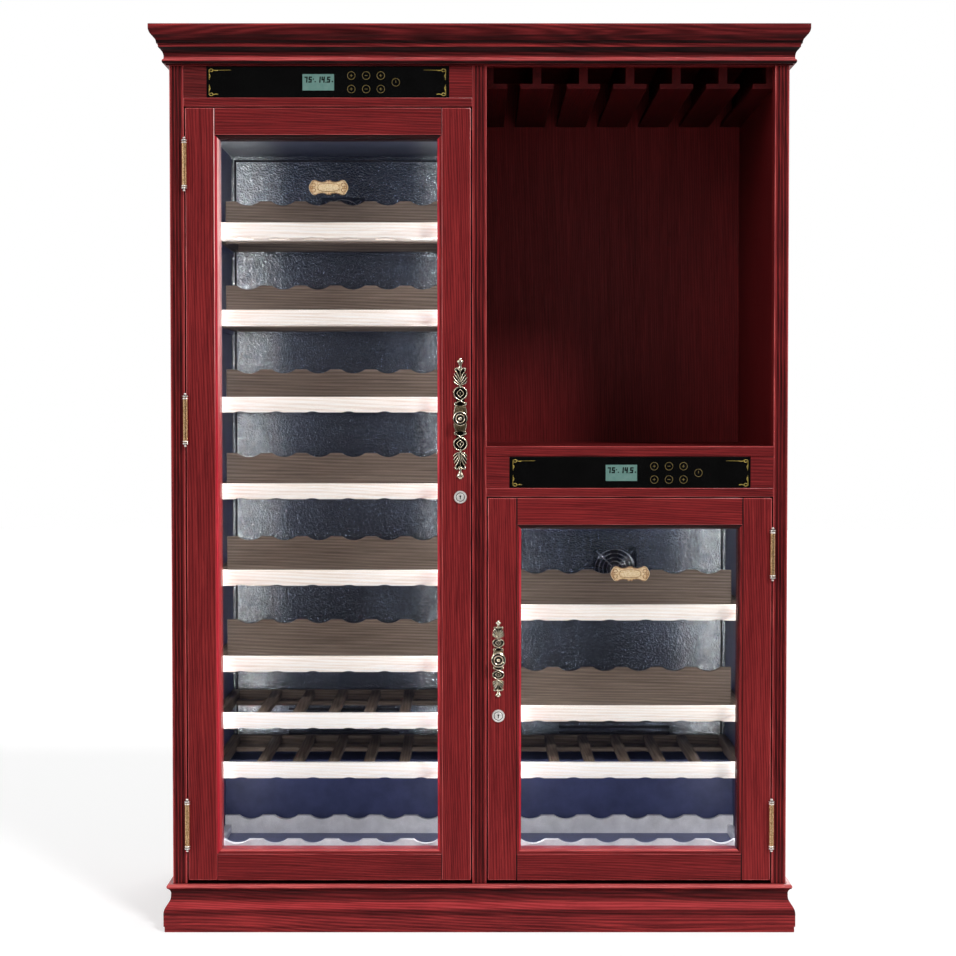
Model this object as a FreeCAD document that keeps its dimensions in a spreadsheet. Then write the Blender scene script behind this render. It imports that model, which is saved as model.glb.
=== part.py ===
import FreeCAD, Part
import math
import os

import Sketcher
from FreeCAD import Placement, Rotation, Vector

os.makedirs("parts", exist_ok=True)

# Free-standing wine cabinet: a tall glazed cooler on the left, a short one on the right under an open
# niche with a stemware rack. X runs to the right, Y to the back and Z up, in millimetres, and the
# origin is on the floor under the middle of the whole outline.

SIZES = {
    # Carcass
    "cabinet_height": 1900,
    "body_width": 1296,
    "body_depth": 642,
    "side_thickness": 25,
    "board_thickness": 20,
    "partition_thickness": 24,
    "stile_width": 30,
    "stile_depth": 40,
    "flute_width": 5,
    "flute_radius": 2.9,
    "flute_pitch": 7,
    "flute_count": 3,
    "edge_bevel": 2,
    "header_thickness": 20,
    "niche_floor_level": 1025,
    "niche_board_thickness": 22,
    "niche_nose_radius": 4,
    "niche_back_thickness": 12,
    "niche_back_inset": 18,
    # Cornice members from the top down, and how far each stands out
    "cornice_overhang": 38,
    "cornice_fillet": 9,
    "cornice_ogee": 29,
    "cornice_listel": 7,
    "cornice_cove": 23,
    "cornice_bead": 10,
    "cornice_quirk": 3,
    "cornice_ogee_reach": 15,
    "cornice_listel_step": 3,
    "cornice_cove_reach": 10,
    "cornice_ogee_radius": 20,
    "cornice_quirk_reach": 6,
    # Plinth members from the floor up, and how far each stands out
    "plinth_overhang": 18,
    "plinth_foot": 12,
    "plinth_face": 24,
    "plinth_ogee": 42,
    "plinth_neck": 12,
    "plinth_bead": 10,
    "plinth_foot_reach": 16,
    "plinth_waist_reach": 4,
    "plinth_bead_reach": 9,
    "plinth_ogee_radius": 28,
    "plinth_board": 22,
    "bead_radius": 5.4,
    # Stemware rack
    "stem_slot_count": 6,
    "stem_slot_pitch": 98,
    "stem_slot_width": 28,
    "stem_rail_drop": 102,
    "stem_rail_thickness": 10,
    "stem_web_width": 18,
    # Doors
    "door_gap": 3,
    "door_sill_gap": 7,
    "door_thickness": 40,
    "door_stile": 70,
    "door_rail": 65,
    "door_bevel_width": 9,
    "door_bevel_depth": 6,
    "glass_seat_depth": 9,
    "glass_rebate": 12,
    "glass_side_clearance": 1,
    "pane_thickness": 4,
    "pane_spacing": 12,
    "spacer_width": 8,
    "gasket_depth": 9.7,
    "gasket_width": 10,
    "gasket_lap": 7,
    "gasket_gap": 0.3,
    # Hinges
    "hinge_length": 95,
    "hinge_barrel_radius": 5,
    "hinge_barrel_gap": 0.5,
    "hinge_pin_radius": 2.5,
    "hinge_pin_clearance": 0.08,
    "hinge_knuckle_gap": 0.3,
    "hinge_leaf_thickness": 1.35,
    "hinge_leaf_depth": 30,
    "hinge_pin_length": 30,
    "hinge_margin": 118,
    "hinge_middle_level": 1080,
    # Handles and locks
    "handle_edge_distance": 22,
    "handle_plate_thickness": 3,
    "handle_spine_width": 5,
    "leaf_reach": 11,
    "leaf_rise": 8,
    "leaf_belly": 2.4,
    "leaf_pitch": 19,
    "rosette_radius": 14,
    "knob_radius": 15,
    "knob_neck_radius": 6,
    "knob_height": 34,
    "knob_neck_height": 12,
    "handle_level_left": 1083,
    "handle_length_left": 255,
    "handle_level_right": 577,
    "handle_length_right": 162,
    "lock_level_left": 918,
    "lock_level_right": 456,
    "lock_bezel_radius": 13.5,
    "lock_bezel_height": 4,
    "lock_case_size": 17,
    "lock_plug_radius": 6,
    "lock_plug_clearance": 0.05,
    "lock_plug_height": 6,
    "key_slot_width": 1.6,
    "key_slot_length": 8,
    "key_slot_depth": 3,
    "lock_cam_length": 36,
    "lock_cam_width": 10,
    "lock_cam_thickness": 2.5,
    "lock_cam_gap": 1.5,
    "strike_clearance": 3,
    # Control panels
    "panel_height": 64,
    "panel_clearance": 2,
    "panel_rail": 18,
    "panel_block": 48,
    "panel_side_clearance": 0.3,
    "panel_recess": 1,
    "panel_glass_thickness": 4,
    "panel_housing_depth": 40,
    "panel_housing_margin": 8,
    "fascia_thickness": 20,
    "display_width": 66,
    "display_height": 34,
    "display_depth": 6,
    "display_offset": 19,
    # Cooler cases
    "case_clearance": 2.5,
    "case_wall": 37,
    "liner_thickness": 3,
    "flange_thickness": 1.5,
    "cavity_depth": 460,
    "cavity_top_margin": 37,
    "cavity_floor_depth": 310,
    "step_height": 160,
    "back_plate": 2,
    "duct_depth": 30,
    "duct_skin": 2,
    "duct_side_margin": 10,
    "duct_top_margin": 12,
    "vent_count": 6,
    "vent_pitch": 14,
    "vent_height": 6,
    "vent_width": 260,
    "vent_margin": 30,
    "led_width": 8,
    "led_depth": 6,
    "led_margin": 30,
    # Fans
    "fan_drop": 150,
    "fan_frame_size": 112,
    "fan_frame_depth": 24,
    "fan_frame_wall": 5,
    "fan_tip_radius": 44,
    "fan_hub_radius": 17,
    "fan_hub_length": 14,
    "fan_shaft_radius": 2,
    "fan_shaft_clearance": 0.05,
    "fan_strut_width": 8,
    "fan_strut_depth": 4,
    "fan_running_gap": 1,
    "blade_count": 5,
    "blade_chord": 18,
    "blade_thickness": 2,
    "blade_foot_inset": 4,
    # Cooling units
    "compressor_radius": 66,
    "compressor_height": 132,
    "compressor_offset": 120,
    "compressor_back_gap": 55,
    "tray_thickness": 2,
    "foot_size": 22,
    "foot_height": 12,
    "condenser_tube": 5,
    "condenser_corner": 30,
    "condenser_pitch": 100,
    "condenser_side_margin": 60,
    "condenser_low_gap": 60,
    "condenser_stand_off": 30,
    "condenser_wire": 2,
    "condenser_wire_count": 8,
    "condenser_bracket": 16,
    "pipe_size": 14,
    "pipe_port_clearance": 1,
    "evaporator_width": 380,
    "evaporator_height": 200,
    "evaporator_thickness": 20,
    "evaporator_lift": 90,
    "inlet_width": 50,
    "inlet_depth": 24,
    "inlet_height": 34,
    "inlet_offset": 150,
    "inlet_pocket": 16,
    "inlet_wall": 5,
    # Shelves
    "cradle_count": 6,
    "cradle_pitch": 77,
    "scallop_width": 52,
    "scallop_depth": 9,
    "scallop_shoulder": 0.78,
    "shelf_front_inset": 60,
    "shelf_board_height": 33,
    "shelf_board_thickness": 18,
    "shelf_board_bevel": 1.5,
    "shelf_side_clearance": 3,
    "shelf_depth": 405,
    "shelf_rail_width": 18,
    "shelf_rail_height": 26,
    "shelf_rail_lift": 3,
    "shelf_slat_depth": 100,
    "shelf_slat_thickness": 8,
    "slat_slot_width": 44,
    "slat_slot_depth": 24,
    "rest_bar_thickness": 14,
    "rest_bar_height": 92,
    "rest_bar_setback": 150,
    "storage_bar_width": 22,
    "storage_cross_width": 40,
    "storage_cross_thickness": 10,
    "storage_cross_inset": 30,
    "ledge_reach": 9,
    "ledge_height": 8,
    "floor_stack_height": 205.5,
    "storage_pitch": 106.5,
    "storage_to_display": 122,
    "display_headroom_left": 196,
    "display_headroom_right": 194.5,
    "display_count_left": 6,
    "display_count_right": 2,
    "storage_count_left": 2,
    "storage_count_right": 1,
    "floor_rack_height": 40,
    "floor_rack_pitch": 81,
    "floor_rack_bar": 14,
    "floor_rack_inset": 12,
    "floor_rack_depth": 270,
}

doc = FreeCAD.newDocument("WineCabinet")
sheet = doc.addObject("Spreadsheet::Sheet", "Sizes")
for row, (alias, number) in enumerate(SIZES.items(), start=1):
    sheet.set(f"A{row}", alias)
    sheet.set(f"B{row}", str(number))
    sheet.setAlias(f"B{row}", alias)
doc.recompute()


# Sizes that know both their formula in cells and their present value

class Size:
    def __init__(self, text, number):
        self.text = text
        self.number = number

    def __add__(self, other):
        other = as_size(other)
        return Size(f"({self.text} + {other.text})", self.number + other.number)

    def __radd__(self, other):
        return as_size(other) + self

    def __sub__(self, other):
        other = as_size(other)
        return Size(f"({self.text} - {other.text})", self.number - other.number)

    def __rsub__(self, other):
        return as_size(other) - self

    def __mul__(self, other):
        other = as_size(other)
        return Size(f"({self.text} * {other.text})", self.number * other.number)

    def __rmul__(self, other):
        return as_size(other) * self

    def __truediv__(self, other):
        other = as_size(other)
        return Size(f"({self.text} / {other.text})", self.number / other.number)

    def __neg__(self):
        return Size(f"(0 - {self.text})", -self.number)


def as_size(value):
    if isinstance(value, Size):
        return value
    return Size(f"({value})", value)


def root(size):
    return Size(f"sqrt({size.text})", math.sqrt(size.number))


def cell(alias):
    return Size(f"Sizes.{alias}", float(sheet.get(alias)))


def whole(alias):
    return int(round(float(sheet.get(alias))))


def bind(thing, path, size):
    thing.setExpression(path, as_size(size).text)


# Solids from limits along the three axes

ZERO = as_size(0)
OVERRUN = as_size(5)

TURNED = {
    "outward": Rotation(Vector(1, 0, 0), 90),
    "x": Rotation(Vector(0, 1, 0), 90),
    "y": Rotation(Vector(1, 0, 0), -90),
    "z": Rotation(),
}


def place(thing, x, y, z):
    bind(thing, "Placement.Base.x", x)
    bind(thing, "Placement.Base.y", y)
    bind(thing, "Placement.Base.z", z)


def block(label, x, y, z):
    solid = doc.addObject("Part::Box", label)
    bind(solid, "Length", x[1] - x[0])
    bind(solid, "Width", y[1] - y[0])
    bind(solid, "Height", z[1] - z[0])
    place(solid, x[0], y[0], z[0])
    return solid


def rod(label, radius, along, start, length):
    solid = doc.addObject("Part::Cylinder", label)
    solid.Placement = Placement(Vector(), TURNED[along])
    bind(solid, "Radius", radius)
    bind(solid, "Height", length)
    place(solid, *start)
    return solid


def splay(label, x, z, y, narrowing):
    """A block along Y that is narrower by the narrowing on all four sides at its far end."""
    solid = doc.addObject("Part::Wedge", label)
    limits = {
        "Xmin": x[0],
        "Xmax": x[1],
        "Zmin": z[0],
        "Zmax": z[1],
        "Ymin": y[0],
        "Ymax": y[1],
        "X2min": x[0] + narrowing,
        "X2max": x[1] - narrowing,
        "Z2min": z[0] + narrowing,
        "Z2max": z[1] - narrowing,
    }
    for name, size in limits.items():
        bind(solid, name, size)
    return solid


def join(label, *parts):
    solid = doc.addObject("Part::MultiFuse", label)
    solid.Shapes = list(parts)
    solid.Refine = True
    return solid


def cut(label, base, *tools):
    solid = doc.addObject("Part::Cut", label)
    solid.Base = base
    solid.Tool = tools[0] if len(tools) == 1 else join(label + "_cutter", *tools)
    solid.Refine = True
    return solid


def common(label, first, second):
    solid = doc.addObject("Part::Common", label)
    solid.Base = first
    solid.Tool = second
    return solid


def group(label, *parts):
    compound = doc.addObject("Part::Compound", label)
    compound.Links = list(parts)
    return compound


def widened(pair, margin):
    return (pair[0] - margin, pair[1] + margin)


# Outlines drawn corner by corner, each corner tied to cells

def arc(start, end, radius):
    """The shorter arc from start to end: anticlockwise for a positive radius, clockwise for a negative."""
    if radius < 0:
        start, end = end, start
    chord = end - start
    half = chord.Length / 2
    left = Vector(-chord.y, chord.x, 0).normalize()
    centre = (start + end) * 0.5 + left * math.sqrt(max(radius * radius - half * half, 0))
    first = math.atan2(start.y - centre.y, start.x - centre.x)
    last = math.atan2(end.y - centre.y, end.x - centre.x)
    if last < first:
        last += 2 * math.pi
    return Part.ArcOfCircle(Part.Circle(centre, Vector(0, 0, 1), abs(radius)), first, last)


def draw(sketch, corners):
    """Closed outline. A corner is (u, v), or (u, v, radius) where an arc ends there."""
    points = [Vector(as_size(c[0]).number, as_size(c[1]).number, 0) for c in corners]
    for index, corner in enumerate(corners):
        start = points[index - 1]
        end = points[index]
        if len(corner) == 3:
            sketch.addGeometry(arc(start, end, as_size(corner[2]).number))
        else:
            sketch.addGeometry(Part.LineSegment(start, end))
    for index, corner in enumerate(corners):
        following = (index + 1) % len(corners)
        turned = len(corner) == 3 and as_size(corner[2]).number < 0
        end_point = 1 if turned else 2
        next_turned = len(corners[following]) == 3 and as_size(corners[following][2]).number < 0
        next_start = 2 if next_turned else 1
        sketch.addConstraint(Sketcher.Constraint("Coincident", index, end_point, following, next_start))
    for index, corner in enumerate(corners):
        turned = len(corner) == 3 and as_size(corner[2]).number < 0
        end_point = 1 if turned else 2
        for kind, size in (("DistanceX", as_size(corner[0])), ("DistanceY", as_size(corner[1]))):
            tie = Sketcher.Constraint(kind, -1, 1, index, end_point, size.number)
            number = sketch.addConstraint(tie)
            sketch.setExpression(f"Constraints[{number}]", size.text)
        if len(corner) == 3:
            size = as_size(corner[2]) * (-1 if turned else 1)
            number = sketch.addConstraint(Sketcher.Constraint("Radius", index, size.number))
            sketch.setExpression(f"Constraints[{number}]", size.text)


UPRIGHT = {
    "plan": Rotation(),
    "front": Rotation(Vector(1, 0, 0), 90),
    "side": Rotation(Vector(1, 1, 1), 120),
}
DEPTHS = {"plan": Vector(0, 0, 1), "front": Vector(0, 1, 0), "side": Vector(1, 0, 0)}


def outline(label, view, corners):
    sketch = doc.addObject("Sketcher::SketchObject", label)
    sketch.Placement = Placement(Vector(), UPRIGHT[view])
    draw(sketch, corners)
    return sketch


def prism(label, view, corners, depth):
    """An outline seen in one view and drawn out between two depths."""
    sketch = outline(label + "_outline", view, corners)
    axis = {"plan": "z", "front": "y", "side": "x"}[view]
    bind(sketch, f"Placement.Base.{axis}", depth[0])
    solid = doc.addObject("Part::Extrusion", label)
    solid.Base = sketch
    solid.DirMode = "Custom"
    solid.Dir = DEPTHS[view]
    solid.Solid = True
    bind(solid, "LengthFwd", depth[1] - depth[0])
    return solid


def turned_solid(label, corners, along, at):
    """A half section of radius and height, turned about an axis."""
    sketch = outline(label + "_section", "front", corners)
    solid = doc.addObject("Part::Revolution", label)
    solid.Source = sketch
    solid.Axis = Vector(0, 0, 1)
    solid.Base = Vector(0, 0, 0)
    solid.Angle = 360
    solid.Solid = True
    solid.Placement = Placement(Vector(), TURNED[along])
    place(solid, *at)
    return solid


def new_body(label):
    return doc.addObject("PartDesign::Body", label)


def body_sketch(body, label, role, corners=None):
    sketch = body.newObject("Sketcher::SketchObject", label)
    plane = next(item for item in body.Origin.OriginFeatures if item.Role == role)
    sketch.AttachmentSupport = [(plane, "")]
    sketch.MapMode = "FlatFace"
    if corners:
        draw(sketch, corners)
    return sketch


def body_axis(body, role):
    return next(item for item in body.Origin.OriginFeatures if item.Role == role)


def pad(body, label, sketch, length, backwards=False):
    feature = body.newObject("PartDesign::Pad", label)
    feature.Profile = sketch
    feature.Reversed = backwards
    bind(feature, "Length", length)
    return feature


# Places worked out from the driving sizes

half_body = cell("body_width") / 2
front = cell("cornice_overhang") / 2 - cell("body_depth") / 2
back = front + cell("body_depth")
top = cell("cabinet_height")
ceiling = top - cell("board_thickness")
cornice_height = (cell("cornice_fillet") + cell("cornice_ogee") + cell("cornice_listel")
                  + cell("cornice_cove") + cell("cornice_bead") + cell("cornice_quirk"))
cornice_foot = top - cornice_height
plinth_height = (cell("plinth_foot") + cell("plinth_face") + cell("plinth_ogee")
                 + cell("plinth_neck") + cell("plinth_bead"))
stile_back = front + cell("stile_depth")
side_inner = half_body - cell("side_thickness")
partition_face = cell("partition_thickness") / 2
opening_inner = cell("stile_width") / 2
opening_outer = half_body - cell("stile_width")
niche_back_front = back - cell("niche_back_inset") - cell("niche_back_thickness")
niche_floor_under = cell("niche_floor_level") - cell("niche_board_thickness")
panel_bay = cell("panel_height") + cell("panel_clearance")

door_inner = opening_inner + cell("door_gap")
door_outer = opening_outer - cell("door_gap")
door_foot = plinth_height + cell("door_sill_gap")
door_back = front + cell("door_thickness")

gasket_end = door_back + cell("gasket_depth")
flange_front = gasket_end + cell("gasket_gap")
case_front = flange_front + cell("flange_thickness")
case_inner = partition_face + cell("case_clearance")
case_outer = side_inner - cell("case_clearance")
cavity_inner = case_inner + cell("case_wall") + cell("liner_thickness")
cavity_outer = case_outer - cell("case_wall") - cell("liner_thickness")
cavity_floor = plinth_height + cell("case_wall") + cell("liner_thickness")
cavity_back = flange_front + cell("cavity_depth")
case_back = cavity_back + cell("back_plate") + cell("liner_thickness") + cell("case_wall")
floor_back = flange_front + cell("cavity_floor_depth")
riser_back = floor_back + cell("liner_thickness") + cell("case_wall")
step_top = cavity_floor + cell("step_height")
step_under = step_top - cell("liner_thickness") - cell("case_wall")
duct_front = cavity_back - cell("duct_depth")
bay_centre = (cavity_inner + cavity_outer) / 2

shelf_front = front + cell("shelf_front_inset")
shelf_back = shelf_front + cell("shelf_depth")
storage_lowest = cavity_floor + cell("floor_stack_height")


class Bay:
    """One of the two columns: its side, its heights and the pieces that it holds."""

    def __init__(self, side, sign, panel_foot_level):
        self.side = side
        self.sign = sign
        self.panel_foot = panel_foot_level
        self.rail_foot = panel_foot_level - cell("panel_rail")
        self.door_top = self.rail_foot - cell("door_gap")
        self.cavity_top = self.door_top - cell("cavity_top_margin")
        self.case_top = self.cavity_top + cell("liner_thickness") + cell("case_wall")
        self.centre = bay_centre * sign
        self.storage_levels = []
        self.display_levels = []
        for index in range(whole(f"storage_count_{side}")):
            self.storage_levels.append(storage_lowest + cell("storage_pitch") * index)
        lowest = self.storage_levels[-1] + cell("storage_to_display")
        count = whole(f"display_count_{side}")
        rise = self.cavity_top - cell(f"display_headroom_{side}") - lowest
        for index in range(count):
            self.display_levels.append(lowest + rise * (index / (count - 1)))

    def across(self, near, far):
        if self.sign > 0:
            return (near, far)
        return (-far, -near)

    def at(self, distance):
        return distance * self.sign

    def name(self, word):
        return f"{word}_{self.side}"


left_bay = Bay("left", -1, cornice_foot - panel_bay)
right_bay = Bay("right", 1, niche_floor_under - panel_bay)
BAYS = (left_bay, right_bay)


# Carcass boards

def side_panel(side, sign):
    x = (side_inner, half_body) if sign > 0 else (-half_body, -side_inner)
    return block(f"side_panel_{side}", x, (stile_back, back), (ZERO, ceiling))


def centre_partition():
    board = block("partition_board", (-partition_face, partition_face),
                  (stile_back, niche_back_front + cell("niche_back_thickness")),
                  (plinth_height, ceiling))
    mortises = []
    for bay in BAYS:
        level = cell(f"lock_level_{bay.side}")
        reach = door_inner + cell("handle_edge_distance") - cell("lock_cam_length")
        mortises.append(block(
            bay.name("strike_mortise"),
            bay.across(reach - cell("strike_clearance"), partition_face + OVERRUN),
            (stile_back - OVERRUN,
             stile_back + cell("lock_cam_gap") + cell("lock_cam_thickness") + cell("strike_clearance")),
            (level - cell("lock_cam_width"), level + cell("lock_cam_length"))))
    return cut("centre_partition", board, *mortises)


def top_board():
    return block("top_board", (-half_body, half_body), (front, back), (ceiling, top))


def base_board():
    return block("base_board", (-side_inner, side_inner),
                 (front + cell("plinth_board"), back),
                 (plinth_height - cell("board_thickness"), plinth_height))


def niche_floor():
    level = cell("niche_floor_level")
    radius = cell("niche_nose_radius")
    nose = prism("niche_floor_nose", "side", [
        (front + radius, niche_floor_under, radius),
        (stile_back, niche_floor_under),
        (stile_back, level),
        (front + radius, level),
        (front, level - radius, radius),
        (front, niche_floor_under + radius),
    ], (opening_inner, opening_outer))
    board = block("niche_floor_board", (partition_face, side_inner), (stile_back, niche_back_front),
                  (niche_floor_under, level))
    return join("niche_floor", nose, board)


def niche_back():
    return block("niche_back", (partition_face, side_inner),
                 (niche_back_front, niche_back_front + cell("niche_back_thickness")),
                 (niche_floor_under, ceiling))


def header_rails():
    rails = []
    for bay in BAYS:
        rails.append(block(bay.name("header_rail"), bay.across(opening_inner, opening_outer),
                           (front, front + cell("header_thickness")), (cornice_foot, ceiling)))
    return group("header_rails", *rails)


def stile(label, middle):
    """An upright with flutes down its face and its front corners taken off."""
    half_flute = cell("flute_width") / 2
    bevel = cell("edge_bevel")
    half = cell("stile_width") / 2
    count = whole("flute_count")
    depth = cell("stile_depth")
    corners = [(-half + bevel, 0)]
    for index in range(count):
        centre = cell("flute_pitch") * (index - (count - 1) / 2)
        corners.append((centre - half_flute, 0))
        corners.append((centre + half_flute, 0, -cell("flute_radius")))
    corners += [(half - bevel, 0), (half, bevel), (half, depth), (-half, depth), (-half, bevel)]
    body = new_body(label)
    section = body_sketch(body, label + "_section", "XY_Plane", corners)
    pad(body, label + "_length", section, ceiling - plinth_height)
    place(body, middle, front, plinth_height)
    return body


def mitred_front(label, members, reach, inner):
    """The run of a moulding along the front, mitred at both ends."""
    run = prism(label + "_run", "side", section(members, front, -1),
                (-half_body - reach, half_body + reach))
    corners = [(-half_body - reach, front - reach), (half_body + reach, front - reach), (half_body, front)]
    if inner.number > 0:
        corners += [(half_body, front + inner), (-half_body, front + inner)]
    corners.append((-half_body, front))
    plan = prism(label + "_plan", "plan", corners, (-OVERRUN, top + OVERRUN))
    return common(label, run, plan)


def mitred_side(label, members, reach):
    """The run of a moulding along the right side, mitred at its front end."""
    run = prism(label + "_run", "front", section(members, half_body, 1), (front - reach, back))
    plan = prism(label + "_plan", "plan", [
        (half_body, front),
        (half_body + reach, front - reach),
        (half_body + reach, back),
        (half_body, back),
    ], (-OVERRUN, top + OVERRUN))
    return common(label, run, plan)


def section(members, face, sign):
    """Corners of a moulding whose members stand out from a face, to its left or its right."""
    corners = []
    for member in members:
        corner = (face + member[0] * sign, member[1])
        if len(member) == 3:
            corner += (member[2] * sign,)
        corners.append(corner)
    return corners


def mirrored(label, source):
    piece = doc.addObject("Part::Mirroring", label)
    piece.Source = source
    piece.Normal = Vector(1, 0, 0)
    return piece


def cornice():
    """Fillet, ogee, listel, cove and bead, from the top down."""
    reach = cell("cornice_overhang")
    levels = [top]
    for member in ("fillet", "ogee", "listel", "cove", "bead", "quirk"):
        levels.append(levels[-1] - cell(f"cornice_{member}"))
    ogee_foot = reach - cell("cornice_ogee_reach")
    listel = ogee_foot - cell("cornice_listel_step")
    cove_foot = listel - cell("cornice_cove_reach")
    ogee_radius = cell("cornice_ogee_radius")
    members = [
        (ZERO, levels[6]),
        (cell("cornice_quirk_reach"), levels[6]),
        (cell("cornice_quirk_reach"), levels[5]),
        (cove_foot, levels[5]),
        (cove_foot, levels[4], cell("bead_radius")),
        (listel, levels[3], -cell("cornice_cove")),
        (listel, levels[2]),
        (ogee_foot, levels[2]),
        ((reach + ogee_foot) / 2, (levels[1] + levels[2]) / 2, -ogee_radius),
        (reach, levels[1], ogee_radius),
        (reach, top),
        (ZERO, top),
    ]
    right = mitred_side("cornice_right", members, reach)
    return group("cornice", mitred_front("cornice_front", members, reach, ZERO), right,
                 mirrored("cornice_left", right))


def plinth():
    """Foot, face, ogee, neck and bead, from the floor up, with a plain rail at the back."""
    reach = cell("plinth_overhang")
    levels = [ZERO]
    for member in ("foot", "face", "ogee", "neck", "bead"):
        levels.append(levels[-1] + cell(f"plinth_{member}"))
    waist = cell("plinth_waist_reach")
    neck = cell("plinth_bead_reach")
    ogee_radius = cell("plinth_ogee_radius")
    members = [
        (cell("plinth_foot_reach"), levels[0]),
        (cell("plinth_foot_reach"), levels[1]),
        (reach, levels[1]),
        (reach, levels[2]),
        ((reach + waist) / 2, (levels[2] + levels[3]) / 2, ogee_radius),
        (waist, levels[3], -ogee_radius),
        (neck, levels[4], -cell("plinth_neck")),
        (neck, levels[5], cell("bead_radius")),
    ]
    board = cell("plinth_board")
    front_members = [(-board, levels[0])] + members + [(-board, levels[5])]
    side_members = [(ZERO, levels[0])] + members + [(ZERO, levels[5])]
    right = mitred_side("plinth_right", side_members, reach)
    rail = block("plinth_back_rail", (-side_inner, side_inner), (back - board, back),
                 (ZERO, plinth_height - cell("board_thickness")))
    return group("plinth", mitred_front("plinth_front", front_members, reach, board), right,
                 mirrored("plinth_left", right), rail)


def stemware_rack():
    """Strips hung from the ceiling on webs, so that a foot slides in above each slot."""
    count = whole("stem_slot_count")
    pitch = cell("stem_slot_pitch")
    half_slot = cell("stem_slot_width") / 2
    half_web = cell("stem_web_width") / 2
    middle = (partition_face + side_inner) / 2
    y = (stile_back, niche_back_front)
    level = ceiling - cell("stem_rail_drop")
    strip_top = level + cell("stem_rail_thickness")
    parts = []
    for index in range(count + 1):
        centre = middle + pitch * (index - count / 2)
        x = (centre - pitch / 2 + half_slot, centre + pitch / 2 - half_slot)
        web = (centre - half_web, centre + half_web)
        if index == 0:
            x = (partition_face, x[1])
            web = (partition_face, partition_face + cell("stem_web_width"))
        if index == count:
            x = (x[0], side_inner)
            web = (side_inner - cell("stem_web_width"), side_inner)
        parts.append(block(f"stem_strip_{index + 1}", x, y, (level, strip_top)))
        parts.append(block(f"stem_web_{index + 1}", web, y, (strip_top, ceiling)))
    return group("stemware_rack", *parts)


# Fascias and control panels

def fascia(bay):
    y = (front, front + cell("fascia_thickness"))
    inner_block = block(bay.name("fascia_inner_block"),
                        bay.across(opening_inner, opening_inner + cell("panel_block")),
                        y, (bay.panel_foot, bay.panel_foot + panel_bay))
    outer_block = block(bay.name("fascia_outer_block"),
                        bay.across(opening_outer - cell("panel_block"), opening_outer),
                        y, (bay.panel_foot, bay.panel_foot + panel_bay))
    rail = block(bay.name("fascia_rail"), bay.across(opening_inner, opening_outer),
                 y, (bay.rail_foot, bay.panel_foot))
    return group(bay.name("fascia"), inner_block, outer_block, rail)


def panel_limits():
    return (opening_inner + cell("panel_block") + cell("panel_side_clearance"),
            opening_outer - cell("panel_block") - cell("panel_side_clearance"))


def control_panel(bay):
    """Touch glass with its electronics housing behind it."""
    x = panel_limits()
    glass_back = front + cell("panel_recess") + cell("panel_glass_thickness")
    z = (bay.panel_foot, bay.panel_foot + cell("panel_height"))
    glass = block(bay.name("touch_glass"), bay.across(*x), (front + cell("panel_recess"), glass_back), z)
    margin = -cell("panel_housing_margin")
    housing = block(bay.name("panel_housing_shell"), bay.across(*widened(x, margin)),
                    (glass_back, glass_back + cell("panel_housing_depth")), widened(z, margin))
    window = display_limits(bay)
    pocket = block(bay.name("panel_housing_pocket"), window[0],
                   (glass_back - OVERRUN, glass_back + cell("display_depth")), window[2])
    display = block(bay.name("display_module"), *window)
    return group(bay.name("control_panel"), glass, cut(bay.name("panel_housing"), housing, pocket), display)


def display_limits(bay):
    centre = bay.centre - cell("display_offset")
    level = bay.panel_foot + cell("panel_height") / 2
    glass_back = front + cell("panel_recess") + cell("panel_glass_thickness")
    half_width = cell("display_width") / 2
    half_height = cell("display_height") / 2
    return ((centre - half_width, centre + half_width),
            (glass_back, glass_back + cell("display_depth")),
            (level - half_height, level + half_height))


# Cooler cases, liners and what is inside them

def pipe_place(bay):
    """Where the suction pipe leaves the case: over the compressor and up from the step."""
    return (bay.centre - bay.at(cell("compressor_offset")), step_top + cell("evaporator_lift"))


def pipe_port(bay, label):
    """The square port in the case's back through which the sleeved suction line runs."""
    x, z = pipe_place(bay)
    half = cell("pipe_size") / 2 + cell("pipe_port_clearance")
    return block(bay.name(label), (x - half, x + half), (cavity_back - OVERRUN, case_back + OVERRUN),
                 (z - half, z + half))


def cooler_case(bay):
    """Foamed walls round the cavity, stepped up at the foot of the back over the machine space."""
    wall = cell("case_wall")
    liner_skin = cell("liner_thickness")
    y = (case_front, case_back)
    z = (plinth_height, bay.case_top)
    inside = bay.across(case_inner + wall, case_outer - wall)
    near = block(bay.name("case_inner_wall"), bay.across(case_inner, case_inner + wall), y, z)
    far = block(bay.name("case_outer_wall"), bay.across(case_outer - wall, case_outer), y, z)
    roof = block(bay.name("case_top"), inside, y, (bay.case_top - wall, bay.case_top))
    floor = block(bay.name("case_floor"), inside, (case_front, riser_back),
                  (plinth_height, plinth_height + wall))
    riser = block(bay.name("case_riser"), inside, (floor_back + liner_skin, riser_back),
                  (plinth_height + wall, step_top - liner_skin))
    step = block(bay.name("case_step"), inside, (riser_back, case_back),
                 (step_under, step_top - liner_skin))
    rear = block(bay.name("case_back_wall"), inside, (case_back - wall, case_back),
                 (step_top - liner_skin, bay.case_top - wall))
    rear = cut(bay.name("case_back"), rear, pipe_port(bay, "case_pipe_port"))
    return group(bay.name("cooler_case"), near, far, roof, floor, riser, step, rear)


def shelf_under(level):
    return level - cell("shelf_board_height")


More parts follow.
